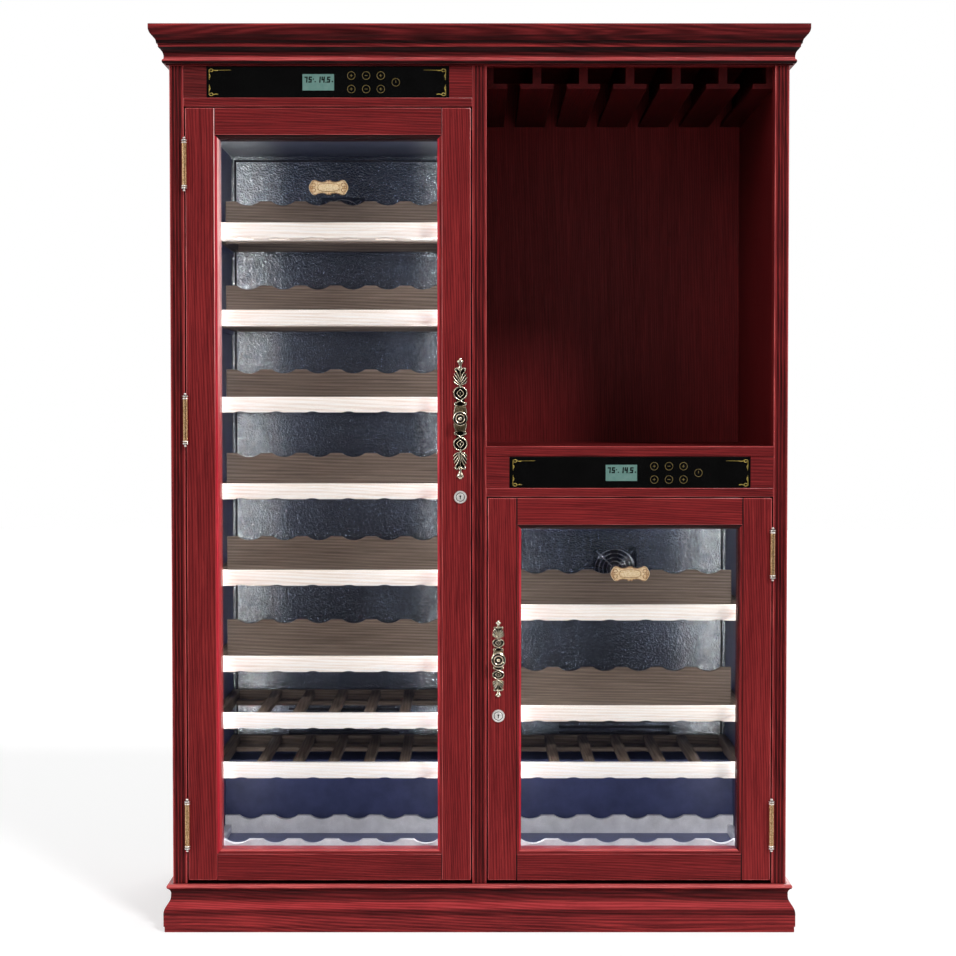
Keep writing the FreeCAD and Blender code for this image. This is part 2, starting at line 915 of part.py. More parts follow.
def liner(bay):
    """Thin inner shell with a front flange and a pair of ledges under each shelf."""
    skin = cell("liner_thickness")
    across = bay.across(cavity_inner, cavity_outer)
    plate_back = cavity_back + cell("back_plate")
    outer_upper = block(bay.name("liner_outer_upper"), widened(across, skin),
                        (case_front, plate_back + skin), (step_top - skin, bay.cavity_top + skin))
    outer_lower = block(bay.name("liner_outer_lower"), widened(across, skin),
                        (case_front, floor_back + skin), (cavity_floor - skin, step_top))
    flange = block(bay.name("liner_flange"), bay.across(case_inner, case_outer),
                   (flange_front, case_front), (plinth_height, bay.case_top))
    inner_upper = block(bay.name("liner_inner_upper"), across,
                        (flange_front - OVERRUN, plate_back), (step_top, bay.cavity_top))
    inner_lower = block(bay.name("liner_inner_lower"), across,
                        (flange_front - OVERRUN, floor_back), (cavity_floor, step_top))
    shell = cut(bay.name("liner_shell"), join(bay.name("liner_outside"), outer_upper, outer_lower, flange),
                join(bay.name("liner_inside"), inner_upper, inner_lower),
                pipe_port(bay, "liner_pipe_port"))
    ledges = []
    reach = cell("ledge_reach")
    for number, level in enumerate(bay.storage_levels + bay.display_levels, start=1):
        ledge_top = shelf_under(level) + cell("shelf_rail_lift")
        y = (shelf_front + cell("shelf_board_thickness"), shelf_back)
        z = (ledge_top - cell("ledge_height"), ledge_top)
        ledges.append(block(bay.name(f"ledge_inner_{number}"),
                            bay.across(cavity_inner, cavity_inner + reach), y, z))
        ledges.append(block(bay.name(f"ledge_outer_{number}"),
                            bay.across(cavity_outer - reach, cavity_outer), y, z))
    return join(bay.name("liner"), shell, *ledges)


def back_wall(bay):
    plate = block(bay.name("back_wall_plate"), bay.across(cavity_inner, cavity_outer),
                  (cavity_back, cavity_back + cell("back_plate")), (step_top, bay.cavity_top))
    return cut(bay.name("back_wall"), plate, pipe_port(bay, "plate_pipe_port"))


def fan_centre(bay):
    return bay.cavity_top - cell("fan_drop")


def duct_cover(bay):
    """Folded air duct cover with return slots at its foot, and the frame that carries the fan."""
    skin = cell("duct_skin")
    x = bay.across(cavity_inner + cell("duct_side_margin"), cavity_outer - cell("duct_side_margin"))
    z = (step_top + cell("duct_side_margin"), bay.cavity_top - cell("duct_top_margin"))
    y = (duct_front, cavity_back)
    shell = block(bay.name("duct_blank"), x, y, z)
    hollow = block(bay.name("duct_hollow"), widened(x, -skin), (y[0] + skin, y[1] + OVERRUN),
                   widened(z, -skin))
    level = fan_centre(bay)
    half_outlet = cell("fan_frame_size") / 2 - cell("fan_frame_wall")
    outlet = block(bay.name("duct_outlet"), (bay.centre - half_outlet, bay.centre + half_outlet),
                   (duct_front - OVERRUN, duct_front + OVERRUN), (level - half_outlet, level + half_outlet))
    vents = []
    half_vent = cell("vent_width") / 2
    for number in range(whole("vent_count")):
        foot = z[0] + cell("vent_margin") + cell("vent_pitch") * number
        vents.append(block(bay.name(f"duct_vent_{number + 1}"),
                           (bay.centre - half_vent, bay.centre + half_vent),
                           (duct_front - OVERRUN, duct_front + OVERRUN), (foot, foot + cell("vent_height"))))
    cover = cut(bay.name("duct_shell"), shell, hollow, outlet, *vents)
    return group(bay.name("duct_cover"), cover, fan_frame(bay))


def fan_frame(bay):
    """Square frame behind the outlet, with crossed struts that carry the motor and its shaft."""
    level = fan_centre(bay)
    half = cell("fan_frame_size") / 2
    y = (duct_front + cell("duct_skin"), duct_front + cell("duct_skin") + cell("fan_frame_depth"))
    strut = cell("fan_strut_width") / 2
    strut_y = (y[1] - cell("fan_strut_depth"), y[1])
    x = (bay.centre - half, bay.centre + half)
    z = (level - half, level + half)
    frame = block(bay.name("fan_square"), x, y, z)
    hollow = block(bay.name("fan_square_hollow"), widened(x, -cell("fan_frame_wall")),
                   (y[0] - OVERRUN, y[1] + OVERRUN), widened(z, -cell("fan_frame_wall")))
    upright = block(bay.name("fan_upright_strut"), (bay.centre - strut, bay.centre + strut), strut_y,
                    widened(z, -strut))
    level_strut = block(bay.name("fan_level_strut"), widened(x, -strut), strut_y,
                        (level - strut, level + strut))
    motor = rod(bay.name("fan_motor"), cell("fan_hub_radius"), "y", (bay.centre, strut_y[0], level),
                cell("fan_strut_depth"))
    hub_back = strut_y[0] - cell("fan_running_gap")
    shaft = rod(bay.name("fan_shaft"), cell("fan_shaft_radius"), "y",
                (bay.centre, hub_back - cell("fan_hub_length") / 2, level),
                cell("fan_hub_length") / 2 + cell("fan_running_gap") + cell("fan_strut_depth"))
    return join(bay.name("fan_frame"), cut(bay.name("fan_ring"), frame, hollow), upright, level_strut,
                motor, shaft)


def fan(bay):
    """Hub with pitched blades, turning on the motor's shaft."""
    hub_radius = cell("fan_hub_radius")
    length = cell("fan_hub_length")
    label = bay.name("fan")
    body = new_body(label)
    hub_section = body_sketch(body, label + "_hub_section", "XZ_Plane")
    hub_section.addGeometry(Part.Circle(Vector(), Vector(0, 0, 1), hub_radius.number))
    hub_section.addConstraint(Sketcher.Constraint("Coincident", 0, 3, -1, 1))
    number = hub_section.addConstraint(Sketcher.Constraint("Radius", 0, hub_radius.number))
    hub_section.setExpression(f"Constraints[{number}]", hub_radius.text)
    pad(body, label + "_hub", hub_section, length, backwards=True)
    half_chord = cell("blade_chord") / 2
    thickness = cell("blade_thickness")
    foot = cell("blade_foot_inset")
    blade = body_sketch(body, label + "_blade_section", "XY_Plane", [
        (-half_chord, 0),
        (-half_chord + thickness, 0),
        (half_chord, length),
        (half_chord - thickness, length),
    ])
    bind(blade, "AttachmentOffset.Base.z", hub_radius - foot)
    pad(body, label + "_blade", blade, cell("fan_tip_radius") - hub_radius + foot)
    doc.recompute()
    ring = body.newObject("PartDesign::PolarPattern", label + "_blades")
    ring.Originals = [body.getObject(label + "_blade")]
    ring.Axis = (body_axis(body, "Y_Axis"), [""])
    ring.Angle = 360
    bind(ring, "Occurrences", cell("blade_count"))
    body.Tip = ring
    doc.recompute()
    bore = body_sketch(body, label + "_bore_section", "XZ_Plane")
    bore_radius = cell("fan_shaft_radius") + cell("fan_shaft_clearance")
    bore.addGeometry(Part.Circle(Vector(), Vector(0, 0, 1), bore_radius.number))
    bore.addConstraint(Sketcher.Constraint("Coincident", 0, 3, -1, 1))
    number = bore.addConstraint(Sketcher.Constraint("Radius", 0, bore_radius.number))
    bore.setExpression(f"Constraints[{number}]", bore_radius.text)
    bind(bore, "AttachmentOffset.Base.z", -length)
    hole = body.newObject("PartDesign::Pocket", label + "_bore")
    hole.Profile = bore
    hole.Reversed = True
    bind(hole, "Length", length / 2 + cell("fan_shaft_clearance"))
    body.Tip = hole
    frame_back = duct_front + cell("duct_skin") + cell("fan_frame_depth")
    place(body, bay.centre,
          frame_back - cell("fan_strut_depth") - cell("fan_running_gap") - length, fan_centre(bay))
    return body


def led_strips(bay):
    """A light strip up each side wall, just behind the front flange."""
    width = cell("led_width")
    y = (case_front, case_front + cell("led_depth"))
    z = widened((cavity_floor, bay.cavity_top), -cell("led_margin"))
    near = block(bay.name("led_strip_inner"), bay.across(cavity_inner, cavity_inner + width), y, z)
    far = block(bay.name("led_strip_outer"), bay.across(cavity_outer - width, cavity_outer), y, z)
    return group(bay.name("led_strips"), near, far)


# Cooling units

def compressor(bay):
    radius = cell("compressor_radius")
    return rod(bay.name("compressor"), radius, "z",
               (bay.centre - bay.at(cell("compressor_offset")),
                back - cell("compressor_back_gap") - radius,
                plinth_height + cell("tray_thickness") + cell("foot_height")),
               cell("compressor_height"))


def machine_tray(bay):
    wall = cell("case_wall")
    return block(bay.name("machine_tray"), bay.across(case_inner + wall, case_outer - wall),
                 (riser_back, back), (plinth_height, plinth_height + cell("tray_thickness")))


def compressor_feet(bay):
    """Four rubber mounts between the tray and the compressor."""
    foot = plinth_height + cell("tray_thickness")
    spread = cell("compressor_radius") / 2
    half = cell("foot_size") / 2
    x = bay.centre - bay.at(cell("compressor_offset"))
    y = back - cell("compressor_back_gap") - cell("compressor_radius")
    places = ((x - spread, y - spread), (x + spread, y - spread), (x - spread, y + spread),
              (x + spread, y + spread))
    return [block(bay.name(f"compressor_foot_{number}"), (px - half, px + half), (py - half, py + half),
                  (foot, foot + cell("foot_height"))) for number, (px, py) in enumerate(places, start=1)]


def condenser(bay):
    """Serpentine tube with upright wires across it, held off the back of the case."""
    half = cell("condenser_tube") / 2
    pitch = cell("condenser_pitch")
    margin = cell("condenser_side_margin")
    y = case_back + cell("condenser_stand_off")
    left = bay.centre - (case_outer - case_inner) / 2 + margin
    right = bay.centre + (case_outer - case_inner) / 2 - margin
    low = step_top + cell("condenser_low_gap")
    span = bay.case_top - cell("condenser_low_gap") - low
    passes = int(span.number // pitch.number) + 1
    high = low + pitch * (passes - 1)
    tube = prism(bay.name("condenser_tube"), "front", serpentine(left, right, low, pitch, passes, half),
                 (y - half, y + half))
    parts = [tube]
    wire = cell("condenser_wire")
    count = whole("condenser_wire_count")
    for number in range(count):
        x = left + (right - left) * ((number + 0.5) / count)
        parts.append(block(bay.name(f"condenser_wire_{number + 1}"), (x - wire / 2, x + wire / 2),
                           (y + half, y + half + wire), (low - pitch / 4, high + pitch / 4)))
    bracket = cell("condenser_bracket") / 2
    for end, x in (("left", left), ("right", right)):
        for height, level in (("low", low), ("high", high)):
            parts.append(block(bay.name(f"condenser_bracket_{end}_{height}"), (x - bracket, x + bracket),
                               (case_back, y - half), (level - bracket, level + bracket)))
    return parts


def serpentine(left, right, low, pitch, passes, half):
    """Corners of a tube that runs to and fro as it rises, its bends drawn as three short straights."""
    outgoing = [(left, low - half)]
    returning = [(left, low + half)]
    for number in range(passes - 1):
        rightward = number % 2 == 0
        level = low + pitch * number
        if rightward:
            outgoing += bend(right, level, pitch, half, 1, 1)
            returning += bend(right, level, pitch, half, 1, -1)
        else:
            outgoing += bend(left, level, pitch, half, -1, -1)
            returning += bend(left, level, pitch, half, -1, 1)
    high = low + pitch * (passes - 1)
    if passes % 2 == 1:
        outgoing.append((right, high - half))
        returning.append((right, high + half))
    else:
        outgoing.append((left, high + half))
        returning.append((left, high - half))
    return outgoing + returning[::-1]


def bend(end, level, pitch, half, outward, side):
    """One face of a bend from a pass to the next: its outside for side 1 and its inside for side -1."""
    corner = cell("condenser_corner")
    mitre = half * (root(as_size(2)) - 1)
    near = end + mitre * side * outward
    far = end + (corner + half * side) * outward
    return [
        (near, level - half * side),
        (far, level + corner - mitre * side),
        (far, level + pitch - corner + mitre * side),
        (near, level + pitch + half * side),
    ]


def evaporator(bay):
    x, z = pipe_place(bay)
    half = cell("evaporator_width") / 2
    low = z - cell("evaporator_height") / 4
    return block(bay.name("evaporator"), (bay.centre - half, bay.centre + half),
                 (cavity_back - cell("evaporator_thickness"), cavity_back),
                 (low, low + cell("evaporator_height")))


def suction_pipe(bay):
    """Foam-sleeved line from the evaporator out through the back, and down into the compressor."""
    x, z = pipe_place(bay)
    half = cell("pipe_size") / 2
    y = case_back + cell("condenser_stand_off") / 2
    low = plinth_height + cell("tray_thickness") + cell("foot_height") + cell("compressor_height")
    level_run = block(bay.name("pipe_through"), (x - half, x + half), (cavity_back, y + half),
                      (z - half, z + half))
    upright = block(bay.name("pipe_down"), (x - half, x + half), (y - half, y + half),
                    (low, z - half))
    return [level_run, upright]


def power_inlet(bay):
    foot = plinth_height + cell("tray_thickness")
    centre = bay.centre + bay.at(cell("inlet_offset"))
    half = cell("inlet_width") / 2
    y = (back - cell("inlet_depth"), back)
    z = (foot, foot + cell("inlet_height"))
    wall = cell("inlet_wall")
    body = block(bay.name("inlet_body"), (centre - half, centre + half), y, z)
    pocket = block(bay.name("inlet_pocket"), widened((centre - half, centre + half), -wall),
                   (back - cell("inlet_pocket"), back + OVERRUN), widened(z, -wall))
    return cut(bay.name("power_inlet"), body, pocket)


def cooling_unit(bay):
    plumbing = join(bay.name("compressor_and_pipe"), compressor(bay), *suction_pipe(bay))
    return group(bay.name("cooling_unit"), machine_tray(bay), plumbing, *compressor_feet(bay),
                 *condenser(bay), evaporator(bay), power_inlet(bay))


# Shelves and racks

def scalloped_bar(label, pitch, length, thickness, height, at):
    """A crossbar whose top edge has a row of hollows, each planed in four cuts."""
    count = whole("cradle_count")
    body = new_body(label)
    face = body_sketch(body, label + "_face", "XZ_Plane", [
        (-length / 2, 0),
        (length / 2, 0),
        (length / 2, height),
        (-length / 2, height),
    ])
    pad(body, label + "_bar", face, thickness, backwards=True)
    first = pitch * ((1 - count) / 2)
    half_hollow = cell("scallop_width") / 2
    depth = cell("scallop_depth")
    hollow = body_sketch(body, label + "_hollow", "XZ_Plane", [
        (first - half_hollow, height),
        (first - half_hollow / 2, height - depth * cell("scallop_shoulder")),
        (first, height - depth),
        (first + half_hollow / 2, height - depth * cell("scallop_shoulder")),
        (first + half_hollow, height),
        (first + half_hollow, height + depth),
        (first - half_hollow, height + depth),
    ])
    doc.recompute()
    scallop = body.newObject("PartDesign::Pocket", label + "_scallop")
    scallop.Profile = hollow
    scallop.Type = "ThroughAll"
    scallop.Midplane = True
    doc.recompute()
    row = body.newObject("PartDesign::LinearPattern", label + "_scallops")
    row.Originals = [scallop]
    row.Direction = (body_axis(body, "X_Axis"), [""])
    bind(row, "Length", pitch * (count - 1))
    row.Occurrences = count
    body.Tip = row
    place(body, *at)
    return body


def shelf_span():
    """Width of a shelf, with play at both walls."""
    return cavity_outer - cavity_inner - cell("shelf_side_clearance") * 2


def shelf_frame(bay, label, level):
    """Front board with softened edges and a runner on each side's ledge."""
    under = shelf_under(level)
    x = widened(bay.across(cavity_inner, cavity_outer), -cell("shelf_side_clearance"))
    bevel = cell("shelf_board_bevel")
    board_back = shelf_front + cell("shelf_board_thickness")
    board = prism(label + "_board", "side", [
        (shelf_front + bevel, under),
        (board_back, under),
        (board_back, level),
        (shelf_front + bevel, level),
        (shelf_front, level - bevel),
        (shelf_front, under + bevel),
    ], x)
    low = under + cell("shelf_rail_lift")
    z = (low, low + cell("shelf_rail_height"))
    width = cell("shelf_rail_width")
    left = block(label + "_left_runner", (x[0], x[0] + width), (board_back, shelf_back), z)
    right = block(label + "_right_runner", (x[1] - width, x[1]), (board_back, shelf_back), z)
    tail = block(label + "_tail", (x[0] + width, x[1] - width),
                 (shelf_back - cell("rest_bar_thickness"), shelf_back), z)
    return [board, left, right, tail]


def display_shelf(bay, number, level):
    """Shelf that tilts what lies on it: a slotted slat in front, and a high hollowed rest behind."""
    label = bay.name("display_shelf") + f"_{number}"
    low = shelf_under(level) + cell("shelf_rail_lift")
    inner = shelf_span() - cell("shelf_rail_width") * 2
    board_back = shelf_front + cell("shelf_board_thickness")
    half = inner / 2
    slat_y = (board_back, board_back + cell("shelf_slat_depth"))
    slat = block(label + "_slat_blank", (bay.centre - half, bay.centre + half), slat_y,
                 (low, low + cell("shelf_slat_thickness")))
    slots = []
    count = whole("cradle_count")
    slot = cell("slat_slot_width") / 2
    slot_middle = (slat_y[0] + slat_y[1]) / 2
    slot_y = (slot_middle - cell("slat_slot_depth") / 2, slot_middle + cell("slat_slot_depth") / 2)
    for index in range(count):
        x = bay.centre + cell("cradle_pitch") * (index - (count - 1) / 2)
        slots.append(block(f"{label}_slot_{index + 1}", (x - slot, x + slot), slot_y,
                           (low - OVERRUN, low + cell("shelf_slat_thickness") + OVERRUN)))
    rest = scalloped_bar(label + "_rest", cell("cradle_pitch"), inner, cell("rest_bar_thickness"),
                         cell("rest_bar_height"),
                         (bay.centre, board_back + cell("rest_bar_setback"), low))
    return group(label, *shelf_frame(bay, label, level), cut(label + "_slat", slat, *slots), rest)


def storage_shelf(bay, number, level):
    """Shelf with lengthwise bars, and a trough between each two of them."""
    label = bay.name("storage_shelf") + f"_{number}"
    under = shelf_under(level) + cell("shelf_rail_lift")
    board_back = shelf_front + cell("shelf_board_thickness")
    inner = shelf_span() / 2 - cell("shelf_rail_width")
    cross = cell("storage_cross_width")
    thickness = cell("storage_cross_thickness")
    x = (bay.centre - inner, bay.centre + inner)
    parts = shelf_frame(bay, label, level)
    for word, y in (("front", board_back + cell("storage_cross_inset")),
                    ("rear", shelf_back - cell("rest_bar_thickness") - cell("storage_cross_inset") - cross)):
        parts.append(block(f"{label}_{word}_cross", x, (y, y + cross), (under, under + thickness)))
    count = whole("cradle_count")
    half = cell("storage_bar_width") / 2
    for index in range(count - 1):
        middle = bay.centre + cell("cradle_pitch") * (index + 1 - count / 2)
        parts.append(block(f"{label}_bar_{index + 1}", (middle - half, middle + half),
                           (board_back, shelf_back - cell("rest_bar_thickness")),
                           (under + thickness, under + cell("shelf_rail_height"))))
    return group(label, *parts)


def floor_rack(bay):
    """White rack on the cavity's floor, two hollowed bars joined by a runner at each end."""
    label = bay.name("floor_rack")
    length = shelf_span()
    bar = cell("floor_rack_bar")
    height = cell("floor_rack_height")
    y = flange_front + cell("floor_rack_inset")
    far = y + cell("floor_rack_depth")
    parts = []
    for place_name, depth in (("front", y), ("rear", far - bar)):
        parts.append(scalloped_bar(f"{label}_{place_name}_bar", cell("floor_rack_pitch"), length, bar,
                                   height, (bay.centre, depth, cavity_floor)))
    for place_name, x in (("left", bay.centre - length / 2), ("right", bay.centre + length / 2 - bar)):
        parts.append(block(f"{label}_{place_name}_runner", (x, x + bar), (y + bar, far - bar),
                           (cavity_floor, cavity_floor + height / 2)))
    return group(label, *parts)


# Doors

def door_opening(bay):
    return (bay.across(door_inner + cell("door_stile"), door_outer - cell("door_stile")),
            (door_foot + cell("door_rail"), bay.door_top - cell("door_rail")))


def door_frame(bay):
    """Two stiles and two rails, bevelled round the glass, rebated behind it and closed by beads."""
    name = bay.name("door")
    outside = bay.across(door_inner, door_outer)
    height = (door_foot, bay.door_top)
    edge = cell("edge_bevel")
    depth = (front, door_back)
    blank = join(name + "_blank",
                 block(name + "_slab", outside, (front + edge, door_back), height),
                 splay(name + "_face", widened(outside, -edge), widened(height, -edge),
                       (front, front + edge), -edge))
    x, z = door_opening(bay)
    bevel = splay(name + "_bevel", widened(x, cell("door_bevel_width")), widened(z, cell("door_bevel_width")),
                  (front, front + cell("door_bevel_depth")), cell("door_bevel_width"))
    through = block(name + "_opening", x, (front - OVERRUN, door_back + OVERRUN), z)
    rebate = block(name + "_rebate", widened(x, cell("glass_rebate")),
                   (front + cell("glass_seat_depth"), door_back + OVERRUN),
                   widened(z, cell("glass_rebate")))
    level = cell(f"lock_level_{bay.side}")
    lock_x = bay.at(door_inner + cell("handle_edge_distance"))
    half_case = cell("lock_case_size") / 2
    mortise = block(name + "_lock_mortise", (lock_x - half_case, lock_x + half_case),
                    (front - OVERRUN, door_back + OVERRUN), (level - half_case, level + half_case))
    cutter = join(name + "_cutter", bevel, through, rebate, mortise)
    limits = {
        "inner_stile": (bay.across(door_inner, door_inner + cell("door_stile")), height),
        "outer_stile": (bay.across(door_outer - cell("door_stile"), door_outer), height),
        "bottom_rail": (x, (door_foot, z[0])),
        "top_rail": (x, (z[1], bay.door_top)),
    }
    parts = []
    for word, (part_x, part_z) in limits.items():
        slab = block(f"{name}_{word}_slab", part_x, depth, part_z)
        whole_part = common(f"{name}_{word}_blank", slab, blank)
        parts.append(cut(f"{name}_{word}", whole_part, cutter))
    parts += glazing_beads(bay, name, x, z)
    return group(bay.name("door_frame"), *parts)


def glazing_beads(bay, name, x, z):
    width = cell("glass_rebate")
    unit = cell("pane_thickness") * 2 + cell("pane_spacing")
    y = (front + cell("glass_seat_depth") + unit, door_back)
    wide = widened(x, width)
    tall = widened(z, width)
    return [
        block(name + "_bead_left", (wide[0], x[0]), y, tall),
        block(name + "_bead_right", (x[1], wide[1]), y, tall),
        block(name + "_bead_low", x, y, (tall[0], z[0])),
        block(name + "_bead_high", x, y, (z[1], tall[1])),
    ]


def door_glass(bay):
    """Sealed unit of two panes with a spacer frame between them."""
    name = bay.name("glass")
    x, z = door_opening(bay)
    lap = cell("glass_rebate") - cell("glass_side_clearance")
    wide = widened(x, lap)
    tall = widened(z, lap)
    pane = cell("pane_thickness")
    outer_back = front + cell("glass_seat_depth") + pane
    inner_front = outer_back + cell("pane_spacing")
    outer_pane = block(name + "_outer_pane", wide, (outer_back - pane, outer_back), tall)
    inner_pane = block(name + "_inner_pane", wide, (inner_front, inner_front + pane), tall)
    spacer = cell("spacer_width")
    ring = cut(name + "_spacer",
               block(name + "_spacer_blank", wide, (outer_back, inner_front), tall),
               block(name + "_spacer_hollow", widened(wide, -spacer),
                     (outer_back - OVERRUN, inner_front + OVERRUN), widened(tall, -spacer)))
    return group(bay.name("door_glass"), outer_pane, inner_pane, ring)


def door_gasket(bay):
    name = bay.name("gasket")
    x = widened(bay.across(cavity_inner, cavity_outer), cell("gasket_lap"))
    z = widened((cavity_floor, bay.cavity_top), cell("gasket_lap"))
    width = cell("gasket_width")
    return cut(bay.name("door_gasket"),
               block(name + "_blank", x, (door_back, gasket_end), z),
               block(name + "_hollow", widened(x, -width), (door_back - OVERRUN, gasket_end + OVERRUN),
                     widened(z, -width)))


def door_handle(bay):
    """Openwork plate of paired leaves on a spine, with a ringed knob in its middle."""
    name = bay.name("handle")
    centre = bay.at(door_inner + cell("handle_edge_distance"))
    level = cell(f"handle_level_{bay.side}")
    half_length = cell(f"handle_length_{bay.side}") / 2
    face = front - cell("handle_plate_thickness")
    y = (face, front)
    half_spine = cell("handle_spine_width") / 2
    finial = cell("leaf_rise")
    parts = [block(name + "_spine", (centre - half_spine, centre + half_spine), y,
                   (level - half_length + finial, level + half_length - finial))]
    rosette = cell("rosette_radius")
    flat = rosette * (root(as_size(2)) - 1)
    parts.append(prism(name + "_rosette", "front", [
        (centre - flat, level - rosette),
        (centre + flat, level - rosette),
        (centre + rosette, level - flat),
        (centre + rosette, level + flat),
        (centre + flat, level + rosette),
        (centre - flat, level + rosette),
        (centre - rosette, level + flat),
        (centre - rosette, level - flat),
    ], y))
    usable = half_length.number - finial.number - cell("rosette_radius").number
    pairs = int(usable // cell("leaf_pitch").number)
    for end, upward in (("upper", 1), ("lower", -1)):
        tip = level + half_length * upward
        parts.append(finial_leaf(f"{name}_{end}_finial", centre, tip, upward, y))
        for index in range(pairs):
            foot = level + (half_length - finial * 2 - cell("leaf_pitch") * index) * upward
            for hand, outward in (("left", -1), ("right", 1)):
                parts.append(leaf(f"{name}_{end}_{hand}_leaf_{index + 1}", centre, foot, outward, upward, y))
    plate = join(name + "_plate", *parts)
    return group(bay.name("door_handle"), plate, knob(name, centre, level, face))


def leaf(label, centre, foot, outward, upward, y):
    """A pointed leaf that rises outwards from the spine, widest at its middle."""
    reach = cell("leaf_reach")
    rise = cell("leaf_rise") * upward
    belly = cell("leaf_belly")
    return prism(label, "front", ordered([
        (centre, foot),
        (centre + (reach / 2 + belly) * outward, foot + rise / 2 - belly * upward),
        (centre + reach * outward, foot + rise),
        (centre + (reach / 2 - belly) * outward, foot + rise / 2 + belly * upward),
    ], outward * upward), y)


def ordered(corners, sign):
    """The corners taken anticlockwise."""
    return corners if sign > 0 else corners[::-1]


def finial_leaf(label, centre, tip, upward, y):
    rise = cell("leaf_rise") * upward
    belly = cell("leaf_belly") * 2
    return prism(label, "front", ordered([
        (centre, tip - rise * 2),
        (centre + belly, tip - rise),
        (centre, tip),
        (centre - belly, tip - rise),
    ], upward), y)


def knob(name, centre, level, face):
    """A knob turned about its own axis: a neck and a thick rim."""
    radius = cell("knob_radius")
    neck = cell("knob_neck_radius")
    height = cell("knob_height") - cell("handle_plate_thickness")
    return turned_solid(name + "_knob", [
        (ZERO, ZERO),
        (neck, ZERO),
        (neck, cell("knob_neck_height")),
        (radius, cell("knob_neck_height")),
        (radius, height),
        (ZERO, height),
    ], "outward", (centre, face, level))


def lock_barrel(bay):
    """Round bezel and square case fixed in the door, bored for the plug."""
    name = bay.name("lock")
    x = bay.at(door_inner + cell("handle_edge_distance"))
    level = cell(f"lock_level_{bay.side}")
    bezel = rod(name + "_bezel", cell("lock_bezel_radius"), "y",
                (x, front - cell("lock_bezel_height"), level), cell("lock_bezel_height"))
    half = cell("lock_case_size") / 2
    case = block(name + "_case", (x - half, x + half), (front, door_back), (level - half, level + half))
    bore = rod(name + "_bore", cell("lock_plug_radius") + cell("lock_plug_clearance"), "y",
               (x, front - cell("lock_bezel_height") - OVERRUN, level),
               cell("door_thickness") + cell("lock_bezel_height") + OVERRUN * 2)
    return cut(bay.name("lock_barrel"), join(name + "_shell", bezel, case), bore)


def lock_plug(bay):
    """Keyed plug with its cam behind the door, upright when it is unlocked."""
    name = bay.name("lock")
    x = bay.at(door_inner + cell("handle_edge_distance"))
    level = cell(f"lock_level_{bay.side}")
    face = front - cell("lock_plug_height")
    cam_y = (door_back + cell("lock_cam_gap"),
             door_back + cell("lock_cam_gap") + cell("lock_cam_thickness"))
    stem = rod(name + "_stem", cell("lock_plug_radius"), "y", (x, face, level), cam_y[1] - face)
    half = cell("key_slot_width") / 2
    slot = block(name + "_key_slot", (x - half, x + half),
                 (face - OVERRUN, face + cell("key_slot_depth")),
                 (level - cell("key_slot_length") / 2, level + cell("key_slot_length") / 2))
    half_cam = cell("lock_cam_width") / 2
    cam = block(name + "_cam", (x - half_cam, x + half_cam), cam_y,
                (level - half_cam, level + cell("lock_cam_length")))
    return join(bay.name("lock_plug"), cut(name + "_keyed_stem", stem, slot), cam)


# Hinges

def hinge_levels(bay):
    """Middle heights of the door's hinges: one near each end, and a third on the tall door."""
    low = door_foot + cell("hinge_margin")
    high = bay.door_top - cell("hinge_margin")
    if bay.side == "left":
        return [low, cell("hinge_middle_level"), high]
    return [low, high]


def hinge_axis(bay):
    return (bay.at((door_outer + opening_outer) / 2),
            front - cell("hinge_barrel_gap") - cell("hinge_barrel_radius"))


def hinge_half(bay, number, level, fixed):
    """A leaf and its knuckle: the fixed lower one carries the pin, and the door's upper one lifts off."""
    role = "fixed" if fixed else "moving"
    name = bay.name("hinge") + f"_{number}_{role}"
    x, y = hinge_axis(bay)
    radius = cell("hinge_barrel_radius")
    low = level - cell("hinge_length") / 2
    high = level + cell("hinge_length") / 2
    gap = cell("hinge_knuckle_gap") / 2
    leaf_near = (opening_outer - door_outer) / 2
    leaf_free = leaf_near - cell("hinge_leaf_thickness")
    side = bay.sign if fixed else -bay.sign
    leaf_x = (x + leaf_free, x + leaf_near) if side > 0 else (x - leaf_near, x - leaf_free)
    z = (low, level - gap) if fixed else (level + gap, high)
    leaf_plate = block(name + "_leaf", leaf_x, (front, front + cell("hinge_leaf_depth")), (low, high))
    knuckle = rod(name + "_knuckle", radius, "z", (x, y, z[0]), z[1] - z[0])
    web = block(name + "_web", leaf_x, (y, front), z)
    if fixed:
        pin = rod(name + "_pin", cell("hinge_pin_radius"), "z", (x, y, level - gap),
                  cell("hinge_pin_length"))
        return join(name, leaf_plate, knuckle, web, pin)
    bore = rod(name + "_bore", cell("hinge_pin_radius") + cell("hinge_pin_clearance"), "z",
               (x, y, level - OVERRUN), cell("hinge_pin_length") + OVERRUN)
    return cut(name, join(name + "_blank", leaf_plate, knuckle, web), bore)


def hinge_leaves_cabinet():
    halves = [hinge_half(bay, number, level, True)
              for bay in BAYS for number, level in enumerate(hinge_levels(bay), start=1)]
    return group("hinge_leaves_cabinet", *halves)


def hinge_leaves_moving(bay):
    halves = [hinge_half(bay, number, level, False)
              for number, level in enumerate(hinge_levels(bay), start=1)]
    return group(bay.name("hinge_leaves_door"), *halves)


# The whole cabinet

